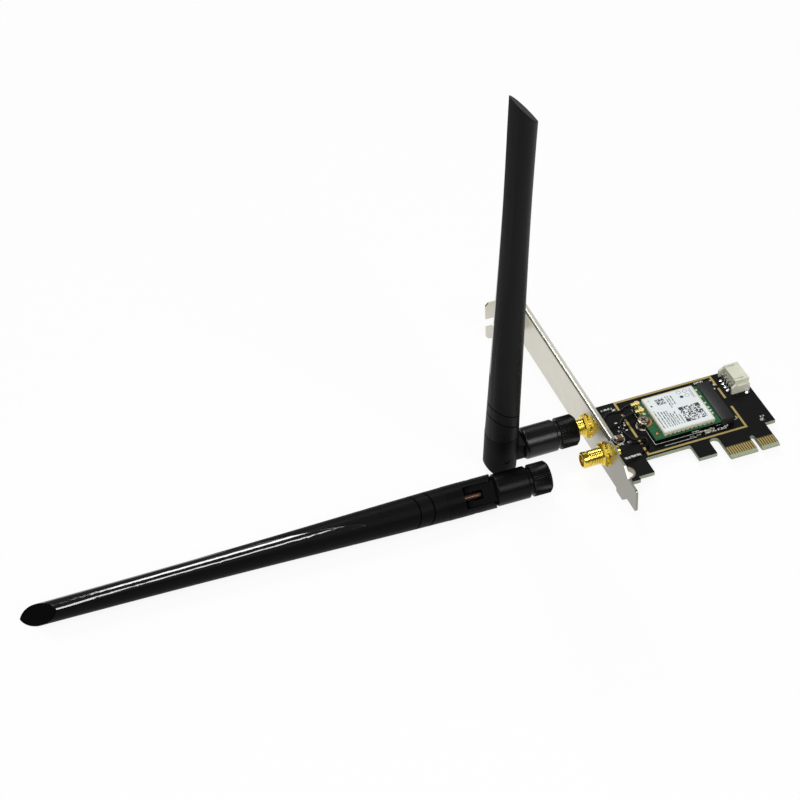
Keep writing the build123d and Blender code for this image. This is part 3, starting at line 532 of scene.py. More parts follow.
@dataclass(frozen=True)
class Printed:
    """A flat piece with marks on it: a board under its solder mask, or a paper label.

    Attributes:
        name: name of the material.
        colour: colour of the top and bottom faces.
        edge: colour of the cut edges.
        ink: colour of the printed marks.
        marks: what is printed.
        patches: areas of another colour under the print, each a mark and its colour.
        dots: round marks on top of it all.
        sheen: how rough the faces are.
        gloss: how much light they throw back.
        relief: height of the buried traces in millimetres.
    """

    name: str
    colour: Colour
    edge: Colour
    ink: Colour
    marks: tuple[Mark, ...]
    patches: tuple[tuple[Mark, Colour], ...] = ()
    dots: tuple[Dot, ...] = ()
    sheen: Sheen = Sheen.SATIN
    gloss: float = 0.2
    relief: float = 0.012

    def make(self) -> Material:
        """Build the material.

        Returns:
            The new material.
        """
        shader = Shader(self.name)
        flat = shader.upward()
        cloud = shader.noise(5.0, 3.0)
        traces = shader.ramp(shader.noise(1.3, 0.0, (6.0, 1.0, 1.0)), 0.52, 0.56)
        top = shader.mottle(cloud, self.colour)
        if self.relief:
            top = shader.mix(shader.math("MULTIPLY", traces, 0.35), top, shade(self.colour, 1.6))
        for patch, colour in self.patches:
            top = shader.mix(shader.box(patch.centre, patch.size), top, colour)
        ink = shader.printed(self.marks)
        top = shader.mix(ink, top, self.ink)
        for dot in self.dots:
            top = shader.mix(shader.disc(dot), top, dot.colour)
        fibre = shader.noise(0.3, 2.0, (1.0, 1.0, 0.3))
        side = shader.mottle(fibre, self.edge, 0.8)
        shader.set(
            Base_Color=shader.mix(flat, side, top),
            Roughness=shader.ramp(flat, 0.0, 1.0, Sheen.MATT.value, self.sheen.value),
            Specular_IOR_Level=self.gloss,
        )
        shader.bump(shader.any([traces, ink]), self.relief + 0.003)
        return shader.material


@dataclass(frozen=True)
class LabelSheet:
    """The module's label, with its print laid out from the top left corner.

    Attributes:
        left: place of the left edge in X.
        top: place of the top edge in Y.
        size: width and height of the label.
        paper: colour inside the margin.
        margin: colour of the margin.
        border: width of the margin.
        ink: colour of the print.
        squares: places of the solid squares in the large pattern.
        square: side of one of them.
    """

    left: float
    top: float
    size: Pair
    paper: Colour = (0.79, 0.84, 0.84)
    margin: Colour = (0.72, 0.7, 0.6)
    border: float = 0.35
    ink: Colour = (0.05, 0.05, 0.06)
    squares: tuple[Pair, ...] = ((10.6, 9.6), (17.6, 9.6), (10.6, 16.7))
    square: float = 1.7

    def spot(self, right: float, down: float) -> Pair:
        """Turn a place on the label into one on the card."""
        return self.left + right, self.top - down

    def block(self, right: Pair, down: Pair, cell: Pair | None = None, cover: float = 0.5) -> Mark:
        """Make a mark from its span to the right and its span downwards."""
        centre = self.spot(sum(right) / 2, sum(down) / 2)
        return Mark(centre, (right[1] - right[0], down[1] - down[0]), cell, cover)

    def line(self, right: float, down: Pair, width: float = 0.5) -> Mark:
        """Make a line of fine print that runs down the label."""
        return self.block((right - width / 2, right + width / 2), down, (width / 2, 0.2), 0.62)

    def make(self) -> Material:
        """Build the material.

        Returns:
            The new material.
        """
        spans = ((8.8, (1.7, 8.7)), (9.7, (1.7, 7.4)), (10.9, (1.9, 7.3)))
        upper = [self.line(right, down) for right, down in spans]
        starts = ((1.1, 7.9), (2.4, 9.0), (3.6, 9.2), (4.6, 9.4), (5.6, 9.4), (6.5, 11.0), (7.4, 11.9))
        starts += ((8.4, 10.6), (9.6, 13.1))
        lower = [self.line(right, (start, 18.5)) for right, start in starts]
        rules = [self.block((right, right + 0.12), (0.9, 6.5)) for right in (18.9, 19.3, 19.7)]
        matrices = [
            self.block((4.2, 7.8), (2.1, 5.6), (0.28, 0.28)),
            self.block((10.6, 19.3), (9.6, 18.4), (0.42, 0.42)),
            *(self.block((x, x + self.square), (y, y + self.square)) for x, y in self.squares),
        ]
        soft = (0.3, 0.32, 0.34)
        rings = [Dot(self.spot(*at), 0.95, soft, 0.72) for at in ((14.7, 1.6), (17.3, 1.7), (17.2, 4.2))]
        dots = [Dot(self.spot(14.8, 4.35), 0.75, self.ink), Dot(self.spot(1.65, 5.1), 0.45, self.ink)]
        dots.append(Dot(self.spot(1.8, 1.9), 0.5, (0.55, 0.57, 0.58)))
        width, height = self.size
        inside = (width - 2 * self.border, height - 2 * self.border)
        patches = ((Mark(self.spot(width / 2, height / 2), inside), self.paper),)
        marks = (*upper, *lower, *rules, *matrices)
        return Printed("label_print", self.margin, self.margin, self.ink, marks, patches, (*rings, *dots),
                       Sheen.MATT, gloss=0.3, relief=0.0).make()


class Studio:
    """Camera, floor and lamps."""

    @dataclass(frozen=True)
    class View:
        """Where the camera stands and how it looks at the card."""

        place: Point = (-249.85, -521.65, 552.02)
        azimuth: float = -17.547
        elevation: float = 41.183
        roll: float = -3.505
        lens: float = 95.6

    @dataclass(frozen=True)
    class Lamp:
        """One soft lamp, aimed at a point of the card."""

        name: str
        place: Point
        size: Pair
        power: float
        aim: Point = (-60.0, 20.0, 20.0)

    floor_level = -3.95
    floor_half = 6000.0
    albedo = 0.9
    white_share = 0.9
    sky = (0.95, 0.97, 1.0, 1.0)
    sky_strength = 0.15

    def panel(self, name: str, place: Point, size: Pair, power: float) -> Lamp:
        """Hang a small panel over the loose antenna, aimed straight across, to streak its polished face."""
        return self.Lamp(name, place, size, power, (place[0], 0.0, 0.0))

    def lamps(self) -> list[Lamp]:
        """List the lamps, none of them where the board would mirror it to the camera.

        Returns:
            The lamps.
        """
        return [
            self.Lamp("key_softbox", (-520.0, -420.0, 900.0), (700.0, 500.0), 4.4),
            self.Lamp("front_softbox", (210.0, -770.0, 734.0), (420.0, 420.0), 4.4),
            self.Lamp("back_panel", (280.0, 820.0, 730.0), (700.0, 420.0), 0.6),
            self.panel("top_panel", (-92.0, -20.0, 1010.0), (194.0, 130.0), 1.0),
            self.panel("rear_panel", (-36.0, 560.0, 780.0), (230.0, 240.0), 2.7),
        ]

    def camera(self) -> None:
        """Set the camera up as the photograph was taken."""
        view = self.View()
        data = bpy.data.cameras.new("camera")
        data.lens = view.lens
        data.clip_start = 0.01
        data.clip_end = 50.0
        camera = bpy.data.objects.new("camera", data)
        bpy.context.scene.collection.objects.link(camera)
        turn = Matrix.Rotation(math.radians(view.azimuth), 4, "Z")
        turn @= Matrix.Rotation(math.radians(90 - view.elevation), 4, "X")
        turn @= Matrix.Rotation(math.radians(view.roll), 4, "Z")
        camera.matrix_world = Matrix.Translation(Vector(view.place) * MM) @ turn
        bpy.context.scene.camera = camera

    def floor(self) -> None:
        """Lay a pale floor that reads white to the camera and to reflections but keeps a faint shadow."""
        level = (0, 0, self.floor_level * MM)
        bpy.ops.mesh.primitive_plane_add(size=2 * self.floor_half * MM, location=level)
        floor = bpy.context.object
        floor.name = "floor"
        shader = Shader("pale_floor")
        shader.set(Base_Color=(self.albedo,) * 3, Roughness=0.9)
        nodes, links = shader.nodes, shader.links
        path = nodes.new("ShaderNodeLightPath")
        seen = shader.any([path.outputs[f"Is {kind} Ray"] for kind in ("Camera", "Glossy", "Transmission")])
        white = nodes.new("ShaderNodeEmission")
        white.inputs["Color"].default_value = (1.0, 1.0, 1.0, 1.0)
        blend = nodes.new("ShaderNodeMixShader")
        links.new(shader.math("MULTIPLY", seen, self.white_share), blend.inputs[0])
        links.new(shader.surface.outputs[0], blend.inputs[1])
        links.new(white.outputs[0], blend.inputs[2])
        links.new(blend.outputs[0], nodes["Material Output"].inputs["Surface"])
        floor.data.materials.append(shader.material)

    def light(self) -> None:
        """Hang the lamps and set the plain surroundings."""
        for lamp in self.lamps():
            data = bpy.data.lights.new(lamp.name, "AREA")
            data.shape = "RECTANGLE"
            data.size = lamp.size[0] * MM
            data.size_y = lamp.size[1] * MM
            data.energy = lamp.power
            lamp_object = bpy.data.objects.new(lamp.name, data)
            bpy.context.scene.collection.objects.link(lamp_object)
            place = Vector(lamp.place) * MM
            aim = Vector(lamp.aim) * MM
            lamp_object.location = place
            lamp_object.rotation_euler = (aim - place).to_track_quat("-Z", "Y").to_euler()
        world = bpy.data.worlds.new("surroundings")
        world.use_nodes = True
        background = world.node_tree.nodes["Background"]
        background.inputs["Color"].default_value = self.sky
        background.inputs["Strength"].default_value = self.sky_strength
        bpy.context.scene.world = world

    def build(self) -> None:
        """Set up the camera, floor and lamps."""
        bpy.context.scene.view_settings.view_transform = "Standard"
        self.camera()
        self.floor()
        self.light()


def dress(nodes: dict, material: Material, *names: str) -> None:
    """Give CAD nodes a material.

    Args:
        nodes: the frame's nodes by name.
        material: material for them.
        names: nodes to dress.
    """
    for name in names:
        slots = nodes[name].data.materials
        slots.clear()
        slots.append(material)
        log.info("dressed %s in %s", name, material.name)


def corners(node: str) -> tuple[Vector, Vector]:
    """Give a CAD node's lowest and highest corners in millimetres."""
    low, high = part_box(node)
    return Vector(low) / MM, Vector(high) / MM


def round_edges(piece: bpy.types.Object, width: float, angle: float = 30.0) -> None:
    """Round the edges of the active piece.

    Args:
        piece: piece to round.
        width: width of the rounding in millimetres.
        angle: least angle in degrees of an edge that is rounded.
    """
    bevel = piece.modifiers.new("edges", "BEVEL")
    bevel.width = width * MM
    bevel.segments = 2
    bevel.limit_method = "ANGLE"
    bevel.angle_limit = math.radians(angle)
    bpy.ops.object.modifier_apply(modifier=bevel.name)


def pick(*pieces: bpy.types.Object) -> None:
    """Select some pieces alone, with the first of them active.

    Args:
        pieces: pieces to select.
    """
    bpy.ops.object.select_all(action="DESELECT")
    for piece in pieces:
        piece.select_set(True)
    bpy.context.view_layer.objects.active = pieces[0]


def join(pieces: list[bpy.types.Object]) -> bpy.types.Object:
    """Join pieces into the first of them.

    Args:
        pieces: pieces to join.

    Returns:
        The joined piece.
    """
    pick(*pieces)
    bpy.ops.object.join()
    return pieces[0]


def lathe(name: str, outline: list[Pair], steps: int, closed: bool) -> bpy.types.Object:
    """Turn an outline about the Z axis.

    Args:
        name: name of the piece.
        outline: points as radius and height, in order.
        steps: faces in one turn.
        closed: whether the outline runs back to its first point, clear of the axis.

    Returns:
        The turned piece.
    """
    bpy.ops.mesh.primitive_plane_add(size=MM)
    piece = bpy.context.object
    piece.name = name
    bpy.ops.object.mode_set(mode="EDIT")
    bpy.ops.mesh.select_mode(type="VERT")
    bpy.ops.mesh.select_all(action="SELECT")
    bpy.ops.mesh.merge(type="CENTER")
    radius, height = outline[0]
    bpy.ops.transform.translate(value=(radius * MM, 0, height * MM))
    route = outline + outline[:1] if closed else outline
    for (radius, height), (next_radius, next_height) in zip(route, route[1:]):
        step = ((next_radius - radius) * MM, 0, (next_height - height) * MM)
        bpy.ops.mesh.extrude_region_move(TRANSFORM_OT_translate={"value": step})
    bpy.ops.mesh.select_all(action="SELECT")
    bpy.ops.mesh.spin(steps=steps, angle=math.tau, center=(0, 0, 0), axis=(0, 0, 1))
    bpy.ops.mesh.select_all(action="SELECT")
    bpy.ops.mesh.remove_doubles(threshold=MERGE_DISTANCE)
    bpy.ops.mesh.normals_make_consistent(inside=False)
    bpy.ops.mesh.select_all(action="DESELECT")
    bpy.ops.object.mode_set(mode="OBJECT")
    return piece


def settle(piece: bpy.types.Object, place: Matrix, material: Material) -> None:
    """Put a new piece in its place, with its place in its mesh, and dress it.

    Args:
        piece: piece as it was made, at the origin.
        place: where it goes, in metres.
        material: its material.
    """
    pick(piece)
    piece.matrix_world = place
    bpy.ops.object.transform_apply()
    bpy.ops.object.shade_smooth_by_angle(angle=SMOOTH_ANGLE)
    piece.data.materials.clear()
    piece.data.materials.append(material)
    log.info("made %s", piece.name)


def thread(name: str, points: list[Vector], diameter: float) -> bpy.types.Object:
    """Lay a round cable along a smooth curve.

    Args:
        name: name of the cable.
        points: points that the curve is drawn to, in metres.
        diameter: thickness of the cable.

    Returns:
        The cable, as a curve.
    """
    data = bpy.data.curves.new(name, "CURVE")
    data.dimensions = "3D"
    data.resolution_u = 12
    data.bevel_depth = diameter * MM / 2
    data.bevel_resolution = 5
    data.use_fill_caps = True
    spline = data.splines.new("NURBS")
    spline.points.add(len(points) - 1)
    for point, place in zip(spline.points, points):
        point.co = (*place, 1.0)
    spline.order_u = 3
    spline.use_endpoint_u = True
    cable = bpy.data.objects.new(name, data)
    bpy.context.scene.collection.objects.link(cable)
    return cable


@dataclass
class Jack:
    """Gold antenna jack through the bracket: lip, thread, hexagon and rear barrel.

    Attributes:
        number: 1 for the jack under the fitted antenna, 2 for the free one.
        thread_radius: radius of the thread.
        bore_radius: radius of the insulator's bore.
        mouth_radius: radius of the open mouth.
        mouth_depth: depth of the mouth.
        chamfer: chamfer of the tip.
        rim: chamfer of the mouth and of the lip's back.
        lip: length of the smooth lip.
        relief: length of the groove behind the lip.
        pitch: pitch of the thread.
        depth: depth of the thread.
        neck_depth: depth of the groove behind the lip.
        seat: height of the hexagon's front face over the bracket's outer face.
        hexagon: hexagon across its flats, and its thickness.
        floor: height of the bore's floor.
        barrel_radius: radius of the rear barrel.
        cable_bore: radius and depth of the cable's hole in the back.
        edge: rounding of the hexagon's edges.
        steps: faces in one turn.
    """

    number: int
    thread_radius: float = 3.175
    bore_radius: float = 2.05
    mouth_radius: float = 2.3
    mouth_depth: float = 1.95
    chamfer: float = 0.4
    rim: float = 0.1
    lip: float = 2.1
    relief: float = 0.55
    pitch: float = 0.7
    depth: float = 0.09
    neck_depth: float = 0.55
    seat: float = -0.86
    hexagon: Pair = (8.0, 2.0)
    floor: float = -2.4
    barrel_radius: float = 2.1
    cable_bore: Pair = (0.56, 0.9)
    edge: float = 0.15
    steps: int = 64

    def outline(self, reach: float, back: float) -> list[Pair]:
        """Draw half of the jack's section, from the bore's floor round the thread to the cable's hole.

        Args:
            reach: height of the tip over the bracket's outer face.
            back: height of the rear end.

        Returns:
            Points as radius and height.
        """
        crest = self.thread_radius
        root = crest - self.depth
        neck = crest - self.neck_depth
        groove = reach - self.lip
        start = groove - self.relief
        points = [
            (0.0, self.floor),
            (self.bore_radius, self.floor),
            (self.bore_radius, reach - self.mouth_depth),
            (self.mouth_radius, reach - self.mouth_depth),
            (self.mouth_radius, reach - self.rim),
            (self.mouth_radius + self.rim, reach),
            (crest - self.chamfer, reach),
            (crest, reach - self.chamfer),
            (crest, groove + self.rim),
            (crest - self.rim, groove),
            (neck, groove),
            (neck, start),
        ]
        turns = int((start - self.seat) / self.pitch) - 1
        for turn in range(turns):
            top = start - turn * self.pitch
            points += [(root, top - 0.05), (crest, top - 0.3 * self.pitch), (crest, top - 0.5 * self.pitch)]
            points += [(root, top - 0.8 * self.pitch)]
        points += [(root, self.seat), (self.barrel_radius, self.seat), (self.barrel_radius, back)]
        radius, depth = self.cable_bore
        return points + [(radius, back), (radius, back + depth), (0.0, back + depth)]

    def build(self, gold: Material) -> None:
        """Make the jack's body in place of its plain solid.

        Args:
            gold: the jack's material.
        """
        node = f"jack_{self.number}_body"
        low, high = (Vector(corner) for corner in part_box(node))
        axis = (low + high) / 2
        outline = self.outline(-low.x / MM, -high.x / MM)
        body = lathe(f"jack_{self.number}_threaded_body", outline, self.steps, False)
        flats, thick = self.hexagon
        bpy.ops.mesh.primitive_cylinder_add(
            vertices=6, radius=flats * MM / math.sqrt(3), depth=thick * MM,
            location=(0, 0, (self.seat - thick / 2) * MM), rotation=(0, 0, math.pi / 2),
        )
        nut = bpy.context.object
        round_edges(nut, self.edge)
        bpy.ops.object.transform_apply()
        join([body, nut])
        turn = Matrix(((0, 0, -1), (0, 1, 0), (1, 0, 0))).to_4x4()
        settle(body, Matrix.Translation((0, axis.y, axis.z)) @ turn, gold)
        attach(body, Body.CARD.value)
        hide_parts(node)


@dataclass(frozen=True)
class Pigtail:
    """The longer cable from a jack to the module, looped over the board."""

    diameter: float = 1.1
    length: float = 42.0
    route: tuple[Point, ...] = (
        (4.5, 15.64, 4.58),
        (9.6, 15.64, 4.58),
        (15.0, 16.4, 2.2),
        (19.2, 17.4, 1.3),
        (19.4, 22.2, 1.2),
        (14.2, 21.4, 1.3),
        (12.6, 28.0, 1.6),
        (13.2, 32.4, 2.4),
        (18.6, 34.1, 3.45),
        (21.8, 34.1, 3.45),
    )

    def build(self, jacket: Material) -> None:
        """Lay the cable in place of its plain solid.

        Args:
            jacket: the cable's material.
        """
        points = [Vector(point) * MM for point in self.route]
        cable = thread("pigtail_2_cable", points, self.diameter)
        cable.data.materials.append(jacket)
        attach(cable, Body.CARD.value)
        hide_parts("pigtail_2")
        log.info("laid %s", cable.name)


@dataclass(frozen=True)
class Palette:
    """Materials that the antennas share."""

    knuckle: Material
    collar: Material
    brass: Material
    jacket: Material
    white: Material


@dataclass
class Antenna:
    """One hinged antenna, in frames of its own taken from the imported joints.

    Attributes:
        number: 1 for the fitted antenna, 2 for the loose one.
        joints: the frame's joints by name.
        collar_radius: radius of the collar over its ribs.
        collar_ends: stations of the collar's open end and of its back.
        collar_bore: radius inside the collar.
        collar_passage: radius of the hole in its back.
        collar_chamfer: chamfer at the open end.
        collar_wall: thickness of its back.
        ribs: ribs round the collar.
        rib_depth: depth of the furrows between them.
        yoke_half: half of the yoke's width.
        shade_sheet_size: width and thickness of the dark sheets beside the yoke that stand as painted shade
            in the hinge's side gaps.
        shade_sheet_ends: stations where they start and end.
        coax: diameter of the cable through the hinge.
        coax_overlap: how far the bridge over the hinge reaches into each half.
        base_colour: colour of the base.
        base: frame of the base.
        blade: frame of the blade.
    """

    number: int
    joints: dict
    collar_radius: float = 6.2
    collar_ends: Pair = (-30.6, -23.3)
    collar_bore: float = 4.7
    collar_passage: float = 2.65
    collar_chamfer: float = 0.9
    collar_wall: float = 0.25
    ribs: int = 54
    rib_depth: float = 0.32
    yoke_half: float = 3.9
    shade_sheet_size: Pair = (7.1, 0.17)
    shade_sheet_ends: Pair = (-8.6, -2.2)
    coax: float = 1.84
    coax_overlap: float = 1.6
    base_colour: Colour = (0.003, 0.003, 0.003)
    base: Matrix = field(init=False)
    blade: Matrix = field(init=False)

    def __post_init__(self) -> None:
        """Find the frames of the base and the blade."""
        tilt = self.joints[self.node("tilt")]
        spin = self.joints[self.node("nut_spin")]
        hinge = Vector(tilt["pos_m"])
        through = Vector(tilt["axis"])
        along = -Vector(spin["axis"])
        self.base = self.frame(hinge, through, along)
        bent = Matrix.Rotation(math.radians(-tilt["range_deg"][0]), 3, through) @ along
        self.blade = self.frame(hinge, through, bent)

    @staticmethod
    def frame(hinge: Vector, through: Vector, along: Vector) -> Matrix:
        """Make a frame at the hinge with Y through it and Z along the antenna.

        Args:
            hinge: middle of the hinge.
            through: direction of the hinge's axis.
            along: direction of the antenna.

        Returns:
            The frame.
        """
        across = through.cross(along).normalized()
        turn = Matrix((across, through, along)).transposed().to_4x4()
        return Matrix.Translation(hinge) @ turn

    def node(self, part: str) -> str:
        """Name of one of this antenna's nodes."""
        return f"antenna_{self.number}_{part}"

    def bodies(self) -> tuple[str, str, str]:
        """Names of the bodies of the base, the blade and the collar.

        Returns:
            The three names.
        """
        if self.number == 1:
            return Body.SWIVEL_1.value, Body.ARM_1.value, Body.COUPLING_1.value
        return Body.CARD.value, Body.ARM_2.value, Body.COUPLING_2.value

    def dress(self, nodes: dict, palette: Palette) -> None:
        """Give the antenna's nodes their materials.

        Args:
            nodes: the frame's nodes by name.
            palette: materials that both antennas share.
        """
        fitted = self.number == 1
        # The loose antenna gets less gloss: on its blade's matt skin this is painted shade for how the light
        # falls on it, and its base is given less gloss too.
        matt, painted_band, gloss = (0.11, 2.9, 0.3) if fitted else (0.055, 0.0, 0.1)
        # Only the fitted antenna's blade gets a painted reflection band of some width.
        blade = BladePlastic(f"blade_{self.number}_plastic", self.blade, matt=matt, painted_band=painted_band)
        dress(nodes, blade.make(), self.node("blade"))
        name = f"base_{self.number}_plastic"
        base = Moulded(name, self.base_colour, Sheen.SATIN, 0.45, 0.03, gloss, self.base)
        dress(nodes, base.make(), self.node("base"))
        dress(nodes, palette.knuckle, self.node("knuckle"), self.node("hinge_pins"))
        dress(nodes, palette.collar, self.node("collar"))
        dress(nodes, palette.brass, *(self.node(part) for part in ("nut", "ferrule", "contact", "radiator")))
        dress(nodes, palette.jacket, self.node("base_coax"), self.node("blade_coax"))
        dress(nodes, palette.white, self.node("insulator"))

    def collar(self, plastic: Material) -> None:
        """Make the ribbed collar in place of its plain solid.

        Args:
            plastic: the collar's material.
        """
        front, back = self.collar_ends
        wall, chamfer, rim = self.collar_wall, self.collar_chamfer, self.collar_radius
        outline = [
            (self.collar_bore, front),
            (rim - chamfer, front),
            (rim, front + chamfer),
            (rim, back - wall),
            (rim - wall, back),
            (self.collar_passage, back),
            (self.collar_passage, back - wall),
            (self.collar_bore, back - wall),
        ]
        piece = lathe(self.node("ribbed_collar"), outline, 2 * self.ribs, True)
        for vertex in piece.data.vertices:
            radius = math.hypot(vertex.co.x, vertex.co.y) / MM
            step = round(math.atan2(vertex.co.y, vertex.co.x) * self.ribs / math.pi)
            vertex.select = radius > rim - 0.05 and step % 2 == 1
        bpy.ops.object.mode_set(mode="EDIT")
        shrink = 1 - self.rib_depth / rim
        bpy.ops.transform.resize(value=(shrink, shrink, 1), center_override=(0, 0, 0))
        bpy.ops.object.mode_set(mode="OBJECT")
        settle(piece, self.base, plastic)
        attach(piece, self.bodies()[2])
        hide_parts(self.node("collar"))

    def shade_sheets(self, plastic: Material) -> None:
        """Put dark sheets on both sides of the yoke's stem as painted shade, so that no light comes through
        the hinge's side gaps.

        Args:
            plastic: the sheets' material.
        """
        front, back = self.shade_sheet_ends
        width, thick = self.shade_sheet_size
        sides = []
        for side in (-1, 1):
            place = (0, side * (self.yoke_half + thick / 2) * MM, (front + back) / 2 * MM)
            bpy.ops.mesh.primitive_cube_add(size=MM, location=place, scale=(width, thick, back - front))
            shade_sheet = bpy.context.object
            bpy.ops.object.transform_apply()
            round_edges(shade_sheet, thick / 3)
            sides.append(shade_sheet)
        piece = join(sides)
        piece.name = self.node("yoke_liners")
        settle(piece, self.base, plastic)
        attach(piece, self.bodies()[0])

    def bridge(self, jacket: Material) -> None:
        """Carry the cable over the hinge, from the base into the blade.

        Args:
            jacket: the cable's material.
        """
        reach = self.coax_overlap * MM
        stations = [self.base @ Vector((0, 0, -share * reach)) for share in (1.0, 0.5)]
        stations += [self.blade @ Vector((0, 0, share * reach)) for share in (0.0, 0.5, 1.0)]
        cable = thread(self.node("hinge_cable"), stations, self.coax)
        pick(cable)
        bpy.ops.object.convert(target="MESH")
        piece = bpy.context.object
        settle(piece, Matrix.Identity(4), jacket)
        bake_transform(piece)


@dataclass(frozen=True)
class ModuleSocket:
    """The dark socket that takes the module's edge, with chamfered rims and a shallow panel on top.

    Attributes:
        grip: how far it reaches over the module.
        chamfer: chamfer of its edges.
        rim: width of the rim round the panel.
        sink: depth of the panel.
        sharp: least angle in degrees of an edge that is chamfered.
    """

    grip: float = 2.3
    chamfer: float = 0.3
    rim: float = 0.7
    sink: float = 0.12
    sharp: float = 60.0

    def build(self, dark: Material) -> None:
        """Make the socket in place of its plain solid.

        Args:
            dark: the socket's material.
        """
        low, high = (Vector(corner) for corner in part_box("module_socket"))
        low.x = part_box("module_board")[1][0] - self.grip * MM
        bpy.ops.mesh.primitive_cube_add(size=1, location=(low + high) / 2, scale=high - low)
        piece = bpy.context.object
        piece.name = "module_socket_shell"
        bpy.ops.object.transform_apply()
        for face in piece.data.polygons:
            face.select = face.normal.z > LEVEL_FACE
        bpy.ops.object.mode_set(mode="EDIT")
        bpy.ops.mesh.select_mode(type="FACE")
        bpy.ops.mesh.inset(thickness=self.rim * MM)
        bpy.ops.mesh.inset(thickness=self.sink * MM)
        bpy.ops.transform.translate(value=(0, 0, -self.sink * MM))
        bpy.ops.object.mode_set(mode="OBJECT")
        round_edges(piece, self.chamfer, self.sharp)
        settle(piece, Matrix.Identity(4), dark)
        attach(piece, Body.CARD.value)
        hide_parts("module_socket")


@dataclass(frozen=True)
class HeaderSolder:
    """Bright mounds of solder round the feet of the header's pins and tabs.

    Attributes:
        pins: pins in the row.
        radius: radius of a mound.
        height: its height.
        stretch: how many times longer a mound is along its foot.
        profile: a mound's outline, in shares of its radius and height.
        root: how far it reaches below the board's face.
        inset: place of an end pin inside the row's box, as a share of the radius.
        toe: distance of a mound from the pins' free ends.
        steps: faces in one turn.
    """

    pins: int = 4
    radius: float = 0.62
    height: float = 0.55
    stretch: float = 1.7
    profile: tuple[Pair, ...] = ((0.0, 1.0), (0.3, 0.93), (0.6, 0.55), (0.85, 0.18), (1.0, 0.0))
    root: float = 0.02
    inset: float = 0.4
    toe: float = 0.6
    steps: int = 24

    def build(self, tin: Material) -> None:
        """Heap the solder and join it into one piece.

        Args:
            tin: the solder's material.
        """
        low, high = corners("header_pins")
        inset = self.radius * self.inset
        span = high.y - low.y - 2 * inset
        feet = [(low.x + self.toe, low.y + inset + span * n / (self.pins - 1)) for n in range(self.pins)]
        low, high = corners("header_tabs")
        feet += [((low.x + high.x) / 2, y) for y in (low.y, high.y)]
        outline = [(right * self.radius, up * self.height) for right, up in self.profile]
        outline += [(self.radius, -self.root), (0.0, -self.root)]
        mounds = []
        for n, (x, y) in enumerate(feet, 1):
            mound = lathe(f"solder_{n}", outline, self.steps, False)
            place = Matrix.Translation((x * MM, y * MM, 0))
            mound.matrix_world = place @ Matrix.Diagonal((self.stretch, 1, 1, 1))
            bpy.ops.object.transform_apply()
            mounds.append(mound)
        piece = join(mounds)
        piece.name = "header_solder"
        settle(piece, Matrix.Identity(4), tin)
        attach(piece, Body.CARD.value)


def header_plastic() -> Material:
    """Make the header's cream plastic, with painted shade at the deep ends of its two top grooves.

    Returns:
        The new material.
    """
    low, high = corners("header_housing")
    middle = (low.y + high.y) / 2
    cream = (0.7, 0.7, 0.57)
    # Painted shade: dark patches where the two top grooves run deep.
    ends = tuple(Mark((high.x - 2.6, middle + side), (1.3, 0.6)) for side in (-3.95, 3.95))
    dark = (0.1, 0.09, 0.06)
    return Printed("header_cream", cream, cream, dark, ends, sheen=Sheen.SOFT, gloss=0.4, relief=0.0).make()


def board_print() -> Material:
    """Make the black board: its silkscreen, vias and bare tongue between the contacts.

    Returns:
        The new material.
    """
    fine = (0.32, 0.36)
    lines = (
        (11.2, 14.9, 6.8, 1.2), (12.8, 43.3, 2.4, 1.0), (15.2, 41.9, 1.6, 1.0), (9.7, 22.8, 2.6, 1.0),
        (39.4, 18.4, 3.4, 0.9), (43.4, 17.4, 6.4, 0.9), (46.4, 16.2, 9.0, 1.1), (51.4, 17.0, 1.6, 1.0),
        (65.7, 15.0, 1.6, 1.4), (52.6, 44.0, 4.0, 1.0), (57.6, 43.3, 0.9, 0.9),
    )
    strokes = (
        (21.8, 28.5, 0.2, 22.0), (33.0, 17.5, 22.4, 0.2), (31.5, 15.5, 13.4, 0.2), (12.9, 34.6, 1.1, 0.7),
        (13.2, 31.9, 0.9, 0.7), (15.5, 32.2, 0.8, 0.9), (15.2, 29.4, 0.9, 0.6), (14.2, 30.7, 0.8, 0.6),
        (13.0, 29.0, 0.8, 0.7), (15.8, 33.5, 0.6, 0.6), (51.2, 18.4, 7.0, 0.2), (55.6, 18.9, 2.2, 0.2),
        (57.0, 19.8, 0.2, 1.8), (56.6, 38.2, 0.9, 0.9), (57.6, 40.5, 0.5, 1.1),
    )
    marks = tuple(Mark((x, y), (width, height), fine) for x, y, width, height in lines)
    marks += tuple(Mark((x, y), (width, height)) for x, y, width, height in strokes)
    gold = (0.5, 0.36, 0.12)
    dots = tuple(Dot(at, 0.5, gold, 0.22) for at in ((17.3, 37.5), (17.0, 34.6)))
    dots += (Dot((45.3, 17.75), 0.6, gold, 0.25), Dot((57.4, 19.8), 0.4, gold, 0.2))
    low, high = corners("capacitor_body")
    dots += (Dot(((low.x + high.x) / 2, (low.y + high.y) / 2), 2.3, (0.6, 0.6, 0.55), 2.12),)
    tongue = Mark((55.5, 3.45), (21.0, 5.4))
    return Printed("black_mask", (0.0036, 0.0036, 0.0034), (0.33, 0.37, 0.27), (0.7, 0.7, 0.64), marks,
                   ((tongue, (0.05, 0.035, 0.016)),), dots, gloss=0.1).make()


def module_print() -> Material:
    """Make the green module board with its white pads and copper marks.

    Returns:
        The new material.
    """
    pads = tuple(Mark((48.5, y), (0.7, 0.9)) for y in (37.7, 33.7, 29.6, 26.9, 25.0, 23.2))
    pads += (Mark((24.1, 37.0), (1.2, 0.8)), Mark((24.0, 32.7), (1.2, 0.8)))
    copper = (0.55, 0.2, 0.08)
    dots = (Dot((21.9, 28.85), 3.2, copper, 2.0), Dot((23.8, 20.65), 0.85, (0.01, 0.03, 0.02)))
    dots += (Dot((23.8, 20.65), 0.5, (0.8, 0.3, 0.06)),)
    return Printed("green_mask", (0.012, 0.095, 0.032), (0.05, 0.16, 0.07), (0.7, 0.7, 0.62), pads, (), dots,
                   gloss=0.25).make()


